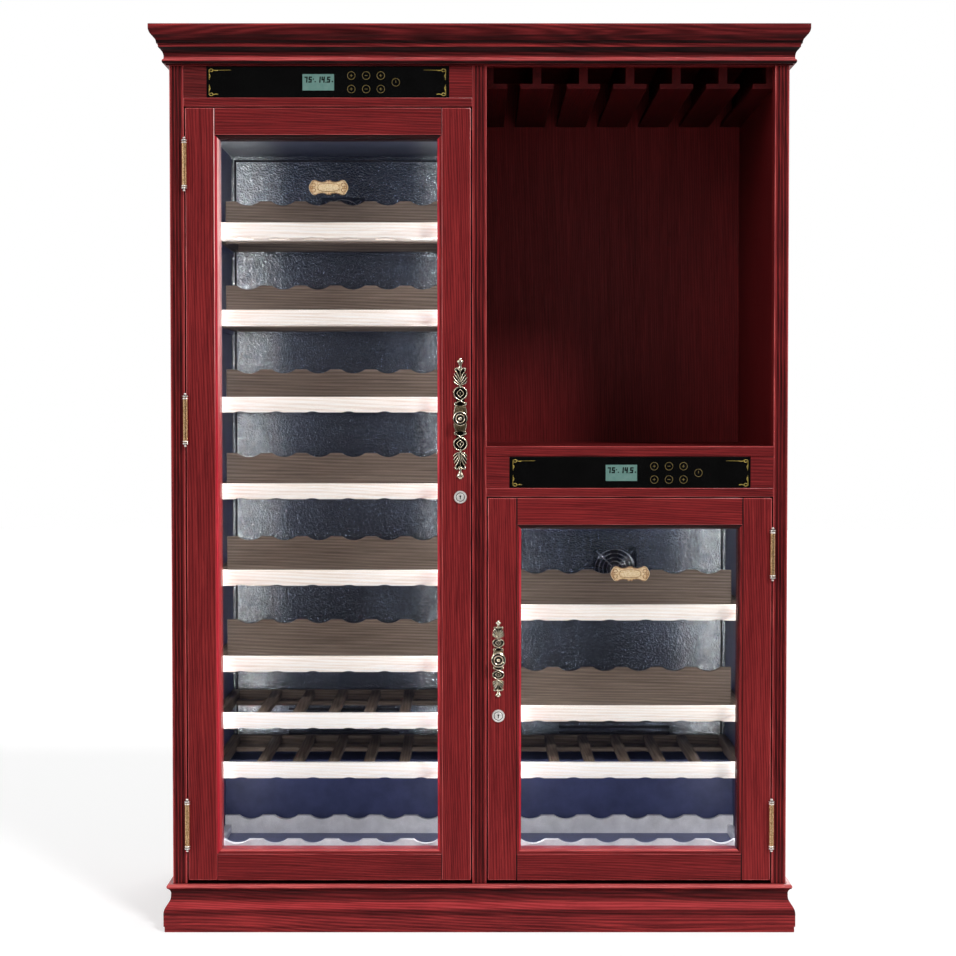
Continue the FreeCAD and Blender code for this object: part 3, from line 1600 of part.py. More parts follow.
nodes = [
    side_panel("left", -1),
    side_panel("right", 1),
    centre_partition(),
    top_board(),
    base_board(),
    niche_floor(),
    niche_back(),
    header_rails(),
    stile("stile_left", -half_body + cell("stile_width") / 2),
    stile("stile_centre", ZERO),
    stile("stile_right", half_body - cell("stile_width") / 2),
    cornice(),
    plinth(),
    stemware_rack(),
    hinge_leaves_cabinet(),
]
for bay in BAYS:
    nodes += [
        fascia(bay),
        control_panel(bay),
        cooler_case(bay),
        liner(bay),
        back_wall(bay),
        duct_cover(bay),
        fan(bay),
        led_strips(bay),
        cooling_unit(bay),
        floor_rack(bay),
        door_frame(bay),
        door_glass(bay),
        door_gasket(bay),
        door_handle(bay),
        lock_barrel(bay),
        lock_plug(bay),
        hinge_leaves_moving(bay),
    ]
    for number, level in enumerate(reversed(bay.storage_levels), start=1):
        nodes.append(storage_shelf(bay, number, level))
    for number, level in enumerate(reversed(bay.display_levels), start=1):
        nodes.append(display_shelf(bay, number, level))

doc.recompute()

for item in doc.Objects:
    if "Invalid" in item.State or "Error" in item.State:
        raise RuntimeError(f"{item.Label} failed: {item.State}")
for node in nodes:
    if node.Shape.isNull() or not node.Shape.isValid() or not node.Shape.Solids:
        raise RuntimeError(f"{node.Label} has no valid solid")
for node in nodes:
    node.Shape.exportStep(f"parts/{node.Label}.step")
print(len(nodes), "nodes")
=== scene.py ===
import math

import bmesh
import bpy
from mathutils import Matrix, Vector


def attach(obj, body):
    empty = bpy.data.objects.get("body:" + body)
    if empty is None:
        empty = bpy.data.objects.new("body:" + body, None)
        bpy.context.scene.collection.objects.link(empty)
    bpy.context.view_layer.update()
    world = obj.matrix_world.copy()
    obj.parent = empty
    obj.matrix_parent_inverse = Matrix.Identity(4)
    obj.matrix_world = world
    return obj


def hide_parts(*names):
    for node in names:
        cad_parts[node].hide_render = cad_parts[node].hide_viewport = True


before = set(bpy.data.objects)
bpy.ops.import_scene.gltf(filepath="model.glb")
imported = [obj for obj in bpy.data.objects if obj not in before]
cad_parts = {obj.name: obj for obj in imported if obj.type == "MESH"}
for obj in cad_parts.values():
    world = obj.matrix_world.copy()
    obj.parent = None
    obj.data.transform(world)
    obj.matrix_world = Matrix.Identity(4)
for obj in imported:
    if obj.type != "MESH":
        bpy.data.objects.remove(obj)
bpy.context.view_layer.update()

# The cabinet's own measures, in millimetres, as the CAD has them

MM = 0.001
FRONT = -302
BACK = 340
SIDES = {"left": -1, "right": 1}
BAY_CENTRE = 317.5
HALF_BODY = 648
STILE_BACK = -262
DOOR_INNER = 18
DOOR_OUTER = 615
DOOR_FOOT = 107
DOOR_TOP = {"left": 1732, "right": 916}
STILE_WIDTH = 70
RAIL_WIDTH = 65
STICKING_WIDTH = 9
STICKING_DEPTH = 6
GLASS_SEAT = 9
REBATE = 12
PANE = 4
PANE_SPACE = 12
DOOR_THICKNESS = 40
CAVITY_INNER = 54.5
CAVITY_OUTER = 580.5
CAVITY_FLOOR = 140
CAVITY_TOP = {"left": 1695, "right": 879}
PANEL_FOOT = {"left": 1753, "right": 937}
DISPLAY_LEVELS = {"left": [574, 759, 944, 1129, 1314, 1499], "right": [467.5, 684.5]}
STORAGE_LEVELS = {"left": [345.5, 452], "right": [345.5]}
SHELF_FRONT = -242
SHELF_BACK = 163
SHELF_PLAY = 3
CRADLES = 6
HANDLE_LEVEL = {"left": 1083, "right": 577}
HANDLE_LENGTH = {"left": 255, "right": 162}
LOCK_LEVEL = {"left": 918, "right": 456}
HANDLE_X = 40
HINGE_LEVELS = {"left": [225, 1080, 1614], "right": [225, 798]}
HINGE_X = 616.5
HINGE_Y = -307.5
HINGE_LENGTH = 95


def across(side, near, far):
    """Limits from the middle of the cabinet outwards, as low and high X."""
    return (near, far) if side == "right" else (-far, -near)


# Finishes

def rgb(code):
    """Linear colour from a written one."""
    parts = [int(code[place:place + 2], 16) / 255 for place in (0, 2, 4)]
    linear = [part / 12.92 if part <= 0.04045 else ((part + 0.055) / 1.055) ** 2.4 for part in parts]
    return (*linear, 1)


class Finish:
    """A material made of shader nodes round one principled surface."""

    def __init__(self, name, **surface):
        self.material = bpy.data.materials.new(name)
        self.material.use_nodes = True
        self.tree = self.material.node_tree
        self.surface = self.tree.nodes["Principled BSDF"]
        self.place = self.node("TexCoord").outputs["Object"]
        for label, value in surface.items():
            self.set(label.replace("_", " ").capitalize(), value)

    def set(self, label, value):
        names = {entry.name.lower(): entry for entry in self.surface.inputs}
        entry = names[label.lower()]
        if isinstance(value, bpy.types.NodeSocket):
            self.tree.links.new(value, entry)
        else:
            entry.default_value = value

    def node(self, kind, inputs=None, **settings):
        node = self.tree.nodes.new("ShaderNode" + kind)
        for key, value in settings.items():
            setattr(node, key, value)
        for key, value in (inputs or {}).items():
            if isinstance(value, bpy.types.NodeSocket):
                self.tree.links.new(value, node.inputs[key])
            else:
                node.inputs[key].default_value = value
        return node

    def scaled(self, factors, place=None):
        inputs = {0: place or self.place, 1: factors}
        return self.node("VectorMath", inputs, operation="MULTIPLY").outputs[0]

    def noise(self, place, scale, detail=3, roughness=0.55, distortion=0.0):
        inputs = {"Vector": place, "Scale": scale, "Detail": detail, "Roughness": roughness,
                  "Distortion": distortion}
        return self.node("TexNoise", inputs).outputs["Fac"]

    def ramp(self, amount, *stops):
        node = self.node("ValToRGB", {"Fac": amount})
        elements = node.color_ramp.elements
        while len(elements) < len(stops):
            elements.new(1)
        for element, (position, colour) in zip(elements, stops):
            element.position = position
            element.color = colour
        return node.outputs["Color"]

    def level(self, amount, low, high, out_low=0.0, out_high=1.0):
        inputs = {"Value": amount, "From Min": low, "From Max": high, "To Min": out_low, "To Max": out_high}
        return self.node("MapRange", inputs, interpolation_type="SMOOTHSTEP").outputs["Result"]

    def math(self, operation, first, second=0.0):
        return self.node("Math", {0: first, 1: second}, operation=operation).outputs[0]

    def mix(self, amount, first, second, blend="MIX"):
        node = self.node("Mix", data_type="RGBA", blend_type=blend)
        for key, value in ((0, amount), (6, first), (7, second)):
            if isinstance(value, bpy.types.NodeSocket):
                self.tree.links.new(value, node.inputs[key])
            else:
                node.inputs[key].default_value = value
        return node.outputs[2]

    def relief(self, height, distance, strength=1.0):
        inputs = {"Height": height, "Distance": distance, "Strength": strength}
        self.set("Normal", self.node("Bump", inputs).outputs["Normal"])


STRETCH = {"x": (0.03, 1, 1), "y": (1, 0.03, 1), "z": (1, 1, 0.03)}
BROAD = {"x": (0.14, 1, 1), "y": (1, 0.14, 1), "z": (1, 1, 0.14)}
# Side panels' inner faces, nearer the middle than this, take painted shade; a painted highlight fades out between the
# two heights below, in metres
SIDE_INNER = 0.626
FADE_FOOT = 0.95
FADE_TOP = 1.5


def lacquered_wood(name, along, dark, middle, light, pore, roughness=0.42, pore_depth=0.5, pitch=5.6,
                   figure=0.28, gloss=0.08, coat=0.02, inside=1.0, wander=0.018, faded=None):
    """Open-pored wood under a clear coat, its grain along one axis and its growth lines a pitch apart."""
    finish = Finish(name, roughness=roughness, specular_ior_level=gloss, coat_weight=coat, coat_roughness=0.2)
    fine = finish.scaled(STRETCH[along])
    broad = finish.scaled(BROAD[along])
    bend = finish.math("MULTIPLY", finish.noise(broad, 7, 2, 0.5), wander)
    bent = finish.node("VectorMath", {0: fine, 1: bend}, operation="ADD").outputs[0]
    inputs = {"Vector": bent, "Scale": 0.6283 / (pitch * MM), "Distortion": 4.5, "Detail": 3.0,
              "Detail Scale": 0.5, "Detail Roughness": 0.6}
    lines = finish.node("TexWave", inputs, wave_type="BANDS", bands_direction="DIAGONAL").outputs["Fac"]
    streaks = finish.noise(fine, 230, 4, 0.65, 0.4)
    patches = finish.noise(broad, 16, 3, 0.55, 0.7)
    streaks = finish.math("ADD", finish.math("MULTIPLY", streaks, 1 - figure), finish.math("MULTIPLY", patches, figure))
    mixed = finish.math("ADD", finish.math("MULTIPLY", lines, 0.16), finish.math("MULTIPLY", streaks, 0.84))
    colour = finish.ramp(mixed, (0.34, dark), (0.5, middle), (0.66, light))
    pores = finish.level(finish.noise(fine, 640, 3, 0.7), 0.54, 0.66)
    colour = finish.mix(finish.math("MULTIPLY", pores, pore_depth), colour, pore)
    # Darkens the side panels' inner faces towards the pore colour: painted shade in the niche
    if inside < 1:
        apart = finish.node("SeparateXYZ", {0: finish.place})
        outer = finish.level(finish.math("ABSOLUTE", apart.outputs["X"]), SIDE_INNER, SIDE_INNER + 0.004, inside, 1)
        colour = finish.mix(outer, pore, colour)
    # Below the fade the colour turns to the faded one, so a painted highlight shows only high up
    if faded:
        apart = finish.node("SeparateXYZ", {0: finish.place})
        colour = finish.mix(finish.level(apart.outputs["Z"], FADE_FOOT, FADE_TOP), faded, colour)
    finish.set("Base Color", colour)
    height = finish.math("SUBTRACT", finish.math("MULTIPLY", streaks, 0.5), pores)
    finish.relief(height, 0.0003, 0.5)
    return finish.material


MAHOGANY = {"dark": rgb("561416"), "middle": rgb("711e20"), "light": rgb("882929"), "pore": rgb("410b0e")}
RAILS = {"dark": rgb("501315"), "middle": rgb("681b1d"), "light": rgb("7e2526"), "pore": rgb("3c0a0d")}
DIM = {"dark": rgb("33080a"), "middle": rgb("521416"), "light": rgb("712022"), "pore": rgb("270608")}
LIT = {"dark": rgb("701a1d"), "middle": rgb("962c2f"), "light": rgb("b33f41"), "pore": rgb("551013")}
DARKER = {"dark": rgb("3c0f10"), "middle": rgb("541819"), "light": rgb("6a2121"), "pore": rgb("2c080a")}
FIGURED = {"dark": rgb("4c1013"), "middle": rgb("742224"), "light": rgb("9a3030"), "pore": rgb("370a0d")}
# Rounded arrises catch the light: a lighter copy of the wood as a painted highlight
EDGE_HIGHLIGHT = {"dark": rgb("8a2c2e"), "middle": rgb("b24747"), "light": rgb("cf5f5c"), "pore": rgb("74181c")}
# A pale pink painted highlight for the stile arris that faces the key light, fading to a lighter red lower down
PAINTED_HIGHLIGHT = {"dark": rgb("d98c8a"), "middle": rgb("efb4b1"), "light": rgb("f8d2d0"), "pore": rgb("c56f6e")}
# A lit copy of the wood for the door bevels: painted light
LIT_BEVEL = {"dark": rgb("8e1b26"), "middle": rgb("b32734"), "light": rgb("c93a45"), "pore": rgb("7a141d")}
# Painted shade for hollows and for faces turned from the light
SHADE = {"dark": rgb("2a0809"), "middle": rgb("430f11"), "light": rgb("5c1618"), "pore": rgb("1c0506")}
# Near black, for dark joints and for painted shade where faces turn down or away
JOINT_AND_SHADE = {"dark": rgb("120304"), "middle": rgb("220708"), "light": rgb("350c0f"), "pore": rgb("0c0202")}
INNER = {"dark": rgb("5f1618"), "middle": rgb("721b1e"), "light": rgb("842426"), "pore": rgb("461012")}
BEECH = {"dark": rgb("ecdccf"), "middle": rgb("fcf3ea"), "light": rgb("fffcf8"), "pore": rgb("e4c6b1")}
PALE_BEECH = {"dark": rgb("f6ece3"), "middle": rgb("fffaf5"), "light": rgb("ffffff"), "pore": rgb("f0dfd0")}
# Beech darkened as if in shade: painted shade on the slats and crossbars
SHADED_BEECH = {"dark": rgb("4f443c"), "middle": rgb("64584e"), "light": rgb("786b60"), "pore": rgb("423730")}
mahogany = {axis: lacquered_wood(f"mahogany_along_{axis}", axis, **(RAILS if axis == "x" else MAHOGANY))
            for axis in "xyz"}
dim = {axis: lacquered_wood(f"mahogany_dim_{axis}", axis, **DIM, figure=0.5, pitch=8, wander=0.04) for axis in "xy"}
lit = {axis: lacquered_wood(f"mahogany_lit_{axis}", axis, **LIT, figure=0.5, pitch=8, wander=0.04) for axis in "xy"}
figured = {axis: lacquered_wood(f"mahogany_figured_{axis}", axis, **FIGURED, figure=0.5, pitch=8,
                                wander=0.04) for axis in "xy"}
dark_block = lacquered_wood("mahogany_dark_block", "x", **DARKER)
bright_rail = lacquered_wood("mahogany_bright_rail", "x", **MAHOGANY)
edge_highlight = {axis: lacquered_wood(f"mahogany_edge_highlight_{axis}", axis, **EDGE_HIGHLIGHT, roughness=0.3, gloss=0.4) for axis in "xyz"}
painted_highlight = lacquered_wood("mahogany_painted_highlight", "z", **PAINTED_HIGHLIGHT, roughness=0.3, faded=rgb("a8383a"))
lit_bevel = {"z": lacquered_wood("mahogany_lit_bevel", "z", **LIT_BEVEL, roughness=0.3)}
shade = {axis: lacquered_wood(f"mahogany_painted_shade_{axis}", axis, **SHADE) for axis in "xyz"}
joint_and_shade = {axis: lacquered_wood(f"mahogany_joint_and_shade_{axis}", axis, **JOINT_AND_SHADE, gloss=0.15, coat=0) for axis in "xyz"}
dim_wood = {axis: lacquered_wood(f"mahogany_inside_{axis}", axis, **INNER, gloss=0.2) for axis in "xyz"}
# Side panels, their inner faces darkened as painted shade
panel_wood = lacquered_wood("mahogany_side_panel", "z", **MAHOGANY, inside=0.42)
beech = {axis: lacquered_wood(f"beech_along_{axis}", axis, **BEECH, roughness=0.5, pore_depth=0.25, pitch=7)
         for axis in "xyz"}
pale_beech = lacquered_wood("beech_pale_front", "x", **PALE_BEECH, roughness=0.5, pore_depth=0.25, pitch=7)
shaded_beech = {axis: lacquered_wood(f"beech_shaded_{axis}", axis, **SHADED_BEECH, roughness=0.6, pore_depth=0.25, pitch=7)
              for axis in "xyz"}


def plain_finish(name, first, second, scale=60, bump=0.0001, **surface):
    """A finish whose colour drifts a little, with a fine surface relief."""
    finish = Finish(name, **surface)
    drift = finish.noise(finish.place, scale, 4, 0.6)
    finish.set("Base Color", finish.ramp(drift, (0.35, first), (0.65, second)))
    finish.relief(finish.noise(finish.place, scale * 12, 2), bump, 0.5)
    return finish.material


# How strongly the painted strip light shows towards the inner strip of each cooler
INNER_GLOW = {"left": 0.7, "right": 0.2}


def painted_strip_light(finish, side):
    """How strongly a point takes the painted light of the strips at both sides of a cooler, by how near it lies, from 0
    to 1.
    """
    apart = finish.node("SeparateXYZ", {0: finish.place})
    offset = finish.math("SUBTRACT", finish.math("ABSOLUTE", apart.outputs["X"]), BAY_CENTRE * MM)
    outer = finish.level(offset, 0.11, 0.24)
    inner = finish.level(offset, -0.24, -0.15, INNER_GLOW[side], 0)
    return finish.math("MAXIMUM", outer, inner)


def aluminium_finish(side):
    """Stucco-embossed sheet, its colour painted bright near the light strips and dark between them: a painted
    reflection of the strips.
    """
    finish = Finish(f"stucco_aluminium_{side}", metallic=1.0, roughness=0.22)
    pebbles = finish.node("TexVoronoi", {"Vector": finish.place, "Scale": 260}, feature="SMOOTH_F1")
    warped = finish.noise(finish.place, 190, 4, 0.65, 1.2)
    middle = finish.ramp(warped, (0.35, rgb("3a3f4a")), (0.65, rgb("646b78")))
    bright = finish.ramp(warped, (0.35, rgb("8b9299")), (0.65, rgb("e2e7e8")))
    finish.set("Base Color", finish.mix(painted_strip_light(finish, side), middle, bright))
    height = finish.math("ADD", finish.math("MULTIPLY", pebbles.outputs["Distance"], 1.4), warped)
    finish.relief(height, 0.0009, 0.8)
    return finish.material


def liner_finish(side):
    """Navy moulding, its ceiling painted paler near the strips: painted light from them."""
    finish = Finish(f"navy_liner_{side}", roughness=0.4, specular_ior_level=0.3)
    drift = finish.ramp(finish.noise(finish.place, 30, 4, 0.6), (0.35, rgb("3a4268")), (0.65, rgb("464e78")))
    apart = finish.node("SeparateXYZ", {0: finish.place})
    top = CAVITY_TOP[side] * MM
    ceiling = finish.level(apart.outputs["Z"], top - 0.004, top - 0.001)
    pale = finish.mix(painted_strip_light(finish, side), rgb("5c6276"), rgb("d0d8dc"))
    finish.set("Base Color", finish.mix(ceiling, drift, pale))
    finish.relief(finish.noise(finish.place, 360, 2), 0.0001, 0.5)
    return finish.material


def brass_finish(name, shade, body, shine, metallic=0.85, roughness=0.34):
    """Antique brass, mottled from dark to rubbed bright; its hollows take a separate near-black copy, for patina and
    painted shade.
    """
    finish = Finish(name, metallic=metallic, roughness=roughness)
    mottle = finish.noise(finish.place, 420, 5, 0.7, 0.6)
    finish.set("Base Color", finish.ramp(mottle, (0.36, shade), (0.5, body), (0.63, shine)))
    finish.relief(mottle, 0.0003, 0.5)
    return finish.material


def glowing_finish(name, colour, strength):
    finish = Finish(name, roughness=0.5, specular_ior_level=0.1)
    drift = finish.noise(finish.place, 90, 2)
    shade = finish.mix(finish.math("MULTIPLY", drift, 0.08), colour, rgb("ffffff"))
    finish.set("Base Color", shade)
    finish.set("Emission Color", shade)
    finish.set("Emission Strength", strength)
    return finish.material


def glass_finish():
    finish = Finish("door_glass_clear", metallic=1.0, roughness=0.02, alpha=0.03)
    drift = finish.noise(finish.place, 3, 1)
    finish.set("Base Color", finish.ramp(drift, (0.3, rgb("98a2e6")), (0.7, rgb("a4aef0"))))
    return finish.material


aluminium = {side: aluminium_finish(side) for side in SIDES}
liner = {side: liner_finish(side) for side in SIDES}
brass = brass_finish("antique_brass", rgb("857558"), rgb("e6d8bd"), rgb("fffaf0"), 0.85, 0.22)
patina_and_shade_brass = brass_finish("antique_brass_patina_and_shade", rgb("060403"), rgb("0d0a08"), rgb("1a1510"))
plate_brass = brass_finish("antique_brass_plate", rgb("4e4230"), rgb("7a6a50"), rgb("a8977a"))
hinge_brass = brass_finish("hinge_brass", rgb("6d4a22"), rgb("c79c6c"), rgb("edcfa8"))
tip_metal = brass_finish("hinge_tip_metal", rgb("cfc4b8"), rgb("efe8e0"), rgb("ffffff"))
gold = brass_finish("badge_gold", rgb("c4a06c"), rgb("e4caa0"), rgb("f8e8cc"), 0.3, 0.4)
gold_line = brass_finish("badge_gold_line", rgb("6e4c2a"), rgb("a0744a"), rgb("c49868"), 0.4)
chrome = plain_finish("polished_chrome", rgb("c4c6c8"), rgb("e4e6e8"), 40, 0.00003, metallic=1.0, roughness=0.14)
nickel = plain_finish("satin_nickel", rgb("d2cecb"), rgb("f2efec"), 60, 0.00003, metallic=0.3, roughness=0.28)
key_gold = plain_finish("printed_gold", rgb("5a4b1f"), rgb("84723a"), 300, 0.00002, roughness=0.4)
bright_gold = plain_finish("printed_bright_gold", rgb("7d6a26"), rgb("b8a24c"), 300, 0.00002, roughness=0.35)
black_glass = plain_finish("black_touch_glass", rgb("020202"), rgb("050505"), 20, 0.00001, roughness=0.08)
coated_case = plain_finish("coated_case", rgb("26272b"), rgb("313237"), 50, 0.0002, roughness=0.55)
black_steel = plain_finish("black_enamel", rgb("151518"), rgb("222226"), 80, 0.0001, roughness=0.35)
black_plastic = plain_finish("black_moulding", rgb("0c0c0e"), rgb("161619"), 120, 0.00008, roughness=0.45)
rubber = plain_finish("dark_rubber", rgb("0c0c0e"), rgb("161618"), 160, 0.0001, roughness=0.8)
white_rack = plain_finish("white_lacquer", rgb("d9d9dc"), rgb("f1f1f3"), 30, 0.0001, roughness=0.35)
display_green = glowing_finish("display_green", rgb("4c736b"), 0.02)
ink = plain_finish("display_ink", rgb("010303"), rgb("040808"), 100, 0.00001, roughness=0.6, specular_ior_level=0.1)
light_strip = glowing_finish("light_strip", rgb("dfe8ff"), 0.8)
glass = glass_finish()


# Shapes, gathered in millimetres and turned into one piece

class Shape:
    def __init__(self):
        self.mesh = bmesh.new()
        self.finishes = []

    def index(self, finish):
        if finish not in self.finishes:
            self.finishes.append(finish)
        return self.finishes.index(finish)

    def face(self, corners, finish):
        made = self.mesh.faces.new(corners)
        made.material_index = self.index(finish)
        return made

    def block(self, x, y, z, finish, rounding=0.0, edge_finish=None, segments=2):
        """A board with rounded edges."""
        corners = [self.mesh.verts.new((px, py, pz)) for px in x for py in y for pz in z]
        sides = ((0, 1, 3, 2), (4, 6, 7, 5), (0, 4, 5, 1), (2, 3, 7, 6), (0, 2, 6, 4), (1, 5, 7, 3))
        faces = [self.face([corners[number] for number in side], finish) for side in sides]
        if rounding:
            edges = list({line for side in faces for line in side.edges})
            bmesh.ops.bevel(self.mesh, geom=edges, offset=rounding, segments=segments, profile=0.5,
                            affect="EDGES", material=self.index(edge_finish or finish))
        return self

    def prism(self, corners, put, near, far, finish, by_edge=None, rounding=0.0):
        """A closed outline drawn out between two depths; put(u, v, depth) says where a corner goes."""
        before = set(self.mesh.edges)
        first = [self.mesh.verts.new(put(u, v, near)) for u, v in corners]
        last = [self.mesh.verts.new(put(u, v, far)) for u, v in corners]
        self.face(first[::-1], finish)
        self.face(last, finish)
        count = len(corners)
        for number in range(count):
            following = (number + 1) % count
            side = [first[number], first[following], last[following], last[number]]
            self.face(side, by_edge(number) if by_edge else finish)
        if rounding:
            rims = [line for line in self.mesh.edges if line not in before
                    and (set(line.verts) <= set(first) or set(line.verts) <= set(last))]
            bmesh.ops.bevel(self.mesh, geom=rims, offset=rounding, segments=2, profile=0.5, affect="EDGES",
                            material=-1, clamp_overlap=True)
        return self

    def tint(self, test, finish):
        """Gives a finish to the faces whose middle passes a test."""
        for side in self.mesh.faces:
            if test(side.calc_center_median(), side.calc_area()):
                side.material_index = self.index(finish)
        return self

    def lathe(self, put, profile, finish, steps=40, dark=None, grooves=()):
        """A profile of radius and height turned about an axis; put(across, up, along) places a point."""
        rings = []
        for radius, height in profile:
            if radius == 0:
                rings.append([self.mesh.verts.new(put(0, 0, height))])
                continue
            ring = []
            for step in range(steps):
                angle = 2 * math.pi * step / steps
                ring.append(self.mesh.verts.new(put(radius * math.cos(angle), radius * math.sin(angle), height)))
            rings.append(ring)
        plain = finish
        for number, (low, high) in enumerate(zip(rings, rings[1:])):
            finish = dark if number in grooves else plain
            for step in range(steps):
                following = (step + 1) % steps
                if len(low) == 1 and len(high) == 1:
                    continue
                if len(low) == 1:
                    self.face([low[0], high[following], high[step]], finish)
                elif len(high) == 1:
                    self.face([low[step], low[following], high[0]], finish)
                else:
                    self.face([low[step], low[following], high[following], high[step]], finish)
        return self

    def moulding(self, members, front_finish, side_finish, bands=()):
        """A moulding round the front and both sides, mitred at the front corners; bands of its profile take other
        finishes, as painted light and shade.
        """
        path = ((-1, BACK, -1, 0), (-1, FRONT, -1, -1), (1, FRONT, 1, -1), (1, BACK, 1, 0))
        rings = []
        for side, depth, out_x, out_y in path:
            rings.append([self.mesh.verts.new((side * HALF_BODY + out_x * max(reach, 0), depth + out_y * reach,
                                               level)) for reach, level in members])
        count = len(members)
        for number, (first, last) in enumerate(zip(rings, rings[1:])):
            axis = "x" if number == 1 else "y"
            for corner in range(count):
                following = (corner + 1) % count
                level = (members[corner][1] + members[following][1]) / 2
                finish = front_finish if number == 1 else side_finish
                for low, high, tone in bands:
                    if low < level < high:
                        finish = tone[axis]
                self.face([first[corner], last[corner], last[following], first[following]], finish)
        self.face(rings[0], side_finish)
        self.face(rings[-1][::-1], side_finish)
        bmesh.ops.dissolve_degenerate(self.mesh, dist=0.001, edges=self.mesh.edges)
        return self

    def grid(self, lines_x, lines_y, holes, z, finish):
        """A plate cut by holes, given as the cells of a grid that are left out."""
        corners = {}
        for level_number, level in enumerate(z):
            for column, px in enumerate(lines_x):
                for row, py in enumerate(lines_y):
                    corners[column, row, level_number] = self.mesh.verts.new((px, py, level))

        def solid(column, row):
            inside = 0 <= column < len(lines_x) - 1 and 0 <= row < len(lines_y) - 1
            return inside and (column, row) not in holes

        for column in range(len(lines_x) - 1):
            for row in range(len(lines_y) - 1):
                if not solid(column, row):
                    continue
                around = ((column, row), (column + 1, row), (column + 1, row + 1), (column, row + 1))
                self.face([corners[place + (1,)] for place in around], finish)
                self.face([corners[place + (0,)] for place in reversed(around)], finish)
                neighbours = ((column, row - 1), (column + 1, row), (column, row + 1), (column - 1, row))
                for number, neighbour in enumerate(neighbours):
                    if solid(*neighbour):
                        continue
                    start = around[number]
                    end = around[(number + 1) % 4]
                    self.face([corners[start + (0,)], corners[end + (0,)], corners[end + (1,)],
                               corners[start + (1,)]], finish)
        loose = [vertex for vertex in corners.values() if not vertex.link_faces]
        bmesh.ops.delete(self.mesh, geom=loose, context="VERTS")
        return self

    def piece(self, name, body, slot, stands_for=(), smooth=20):
        bmesh.ops.recalc_face_normals(self.mesh, faces=self.mesh.faces)
        bmesh.ops.scale(self.mesh, vec=(MM, MM, MM), verts=self.mesh.verts)
        data = bpy.data.meshes.new(name)
        self.mesh.to_mesh(data)
        self.mesh.free()
        for finish in self.finishes:
            data.materials.append(finish)
        data.shade_smooth()
        data.set_sharp_from_angle(angle=math.radians(smooth))
        thing = bpy.data.objects.new(name, data)
        bpy.context.scene.collection.objects.link(thing)
        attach(thing, body)
        if stands_for:
            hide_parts(*stands_for)
        return thing


def arc(start, end, radius, steps=8):
    """Points after start, up to end, on the shorter arc: anticlockwise for a positive radius."""
    if radius < 0:
        points = arc(end, start, -radius, steps)
        return points[-2::-1] + [end]
    chord = (end[0] - start[0], end[1] - start[1])
    half = math.hypot(*chord) / 2
    lift = math.sqrt(max(radius * radius - half * half, 0)) / (2 * half)
    centre = ((start[0] + end[0]) / 2 - chord[1] * lift, (start[1] + end[1]) / 2 + chord[0] * lift)
    first = math.atan2(start[1] - centre[1], start[0] - centre[0])
    last = math.atan2(end[1] - centre[1], end[0] - centre[0])
    if last < first:
        last += 2 * math.pi
    points = []
    for step in range(1, steps + 1):
        angle = first + (last - first) * step / steps
        points.append((centre[0] + radius * math.cos(angle), centre[1] + radius * math.sin(angle)))
    points[-1] = end
    return points


def outline(members, steps=8):
    """Corners of an outline whose members are (u, v), or (u, v, radius) where an arc ends there."""
    points = [tuple(members[0][:2])]
    for member in members[1:]:
        if len(member) == 3:
            points += arc(points[-1], member[:2], member[2], steps)
        else:
            points.append(member)
    return points


def as_plan(u, v, depth):
    return (u, v, depth)


def as_front(u, v, depth):
    return (u, depth, v)


def as_side(u, v, depth):
    return (depth, u, v)


def outward_from(x, y, z):
    """Places a turned point round an axis that runs forwards from a place."""
    return lambda u, v, along: (x + u, y - along, z + v)


def upward_from(x, y, z):
    return lambda u, v, along: (x + u, y + v, z + along)


def strokes(name, lines, thickness, finish, body, stands_for=(), cyclic=False, order=3):
    """Round bars bent along smooth lines, each line a list of (x, y, z, width share)."""
    data = bpy.data.curves.new(name, "CURVE")
    data.dimensions = "3D"
    data.bevel_depth = thickness * MM
    data.bevel_resolution = 3
    data.resolution_u = 8
    data.use_fill_caps = True
    data.materials.append(finish)
    for line in lines:
        spline = data.splines.new("NURBS")
        spline.points.add(len(line) - 1)
        for point, (x, y, z, width) in zip(spline.points, line):
            point.co = (x * MM, y * MM, z * MM, 1)
            point.radius = width
        spline.order_u = min(order, len(line))
        spline.use_endpoint_u = not cyclic
        spline.use_cyclic_u = cyclic
    thing = bpy.data.objects.new(name, data)
    bpy.context.scene.collection.objects.link(thing)
    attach(thing, body)
    if stands_for:
        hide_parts(*stands_for)
    return thing


def ring_line(x, y, z, radius, count=8):
    return [(x + radius * math.cos(2 * math.pi * step / count), y,
             z + radius * math.sin(2 * math.pi * step / count), 1) for step in range(count)]


# Cornice and plinth

CORNICE = outline([(0, 1819), (6, 1819), (6, 1822), (10, 1822), (10, 1832, 5.4), (20, 1855, -23), (20, 1862),
                   (23, 1862), (30.5, 1876.5, -20), (38, 1891, 20), (38, 1896), (38, 1900), (0, 1900)])
PLINTH = outline([(-22, 0), (16, 0), (16, 12), (18, 12), (18, 36), (11, 57, 28), (4, 78, -28), (9, 90, -12),
                  (9, 100, 5.4), (2, 100), (-22, 100)])
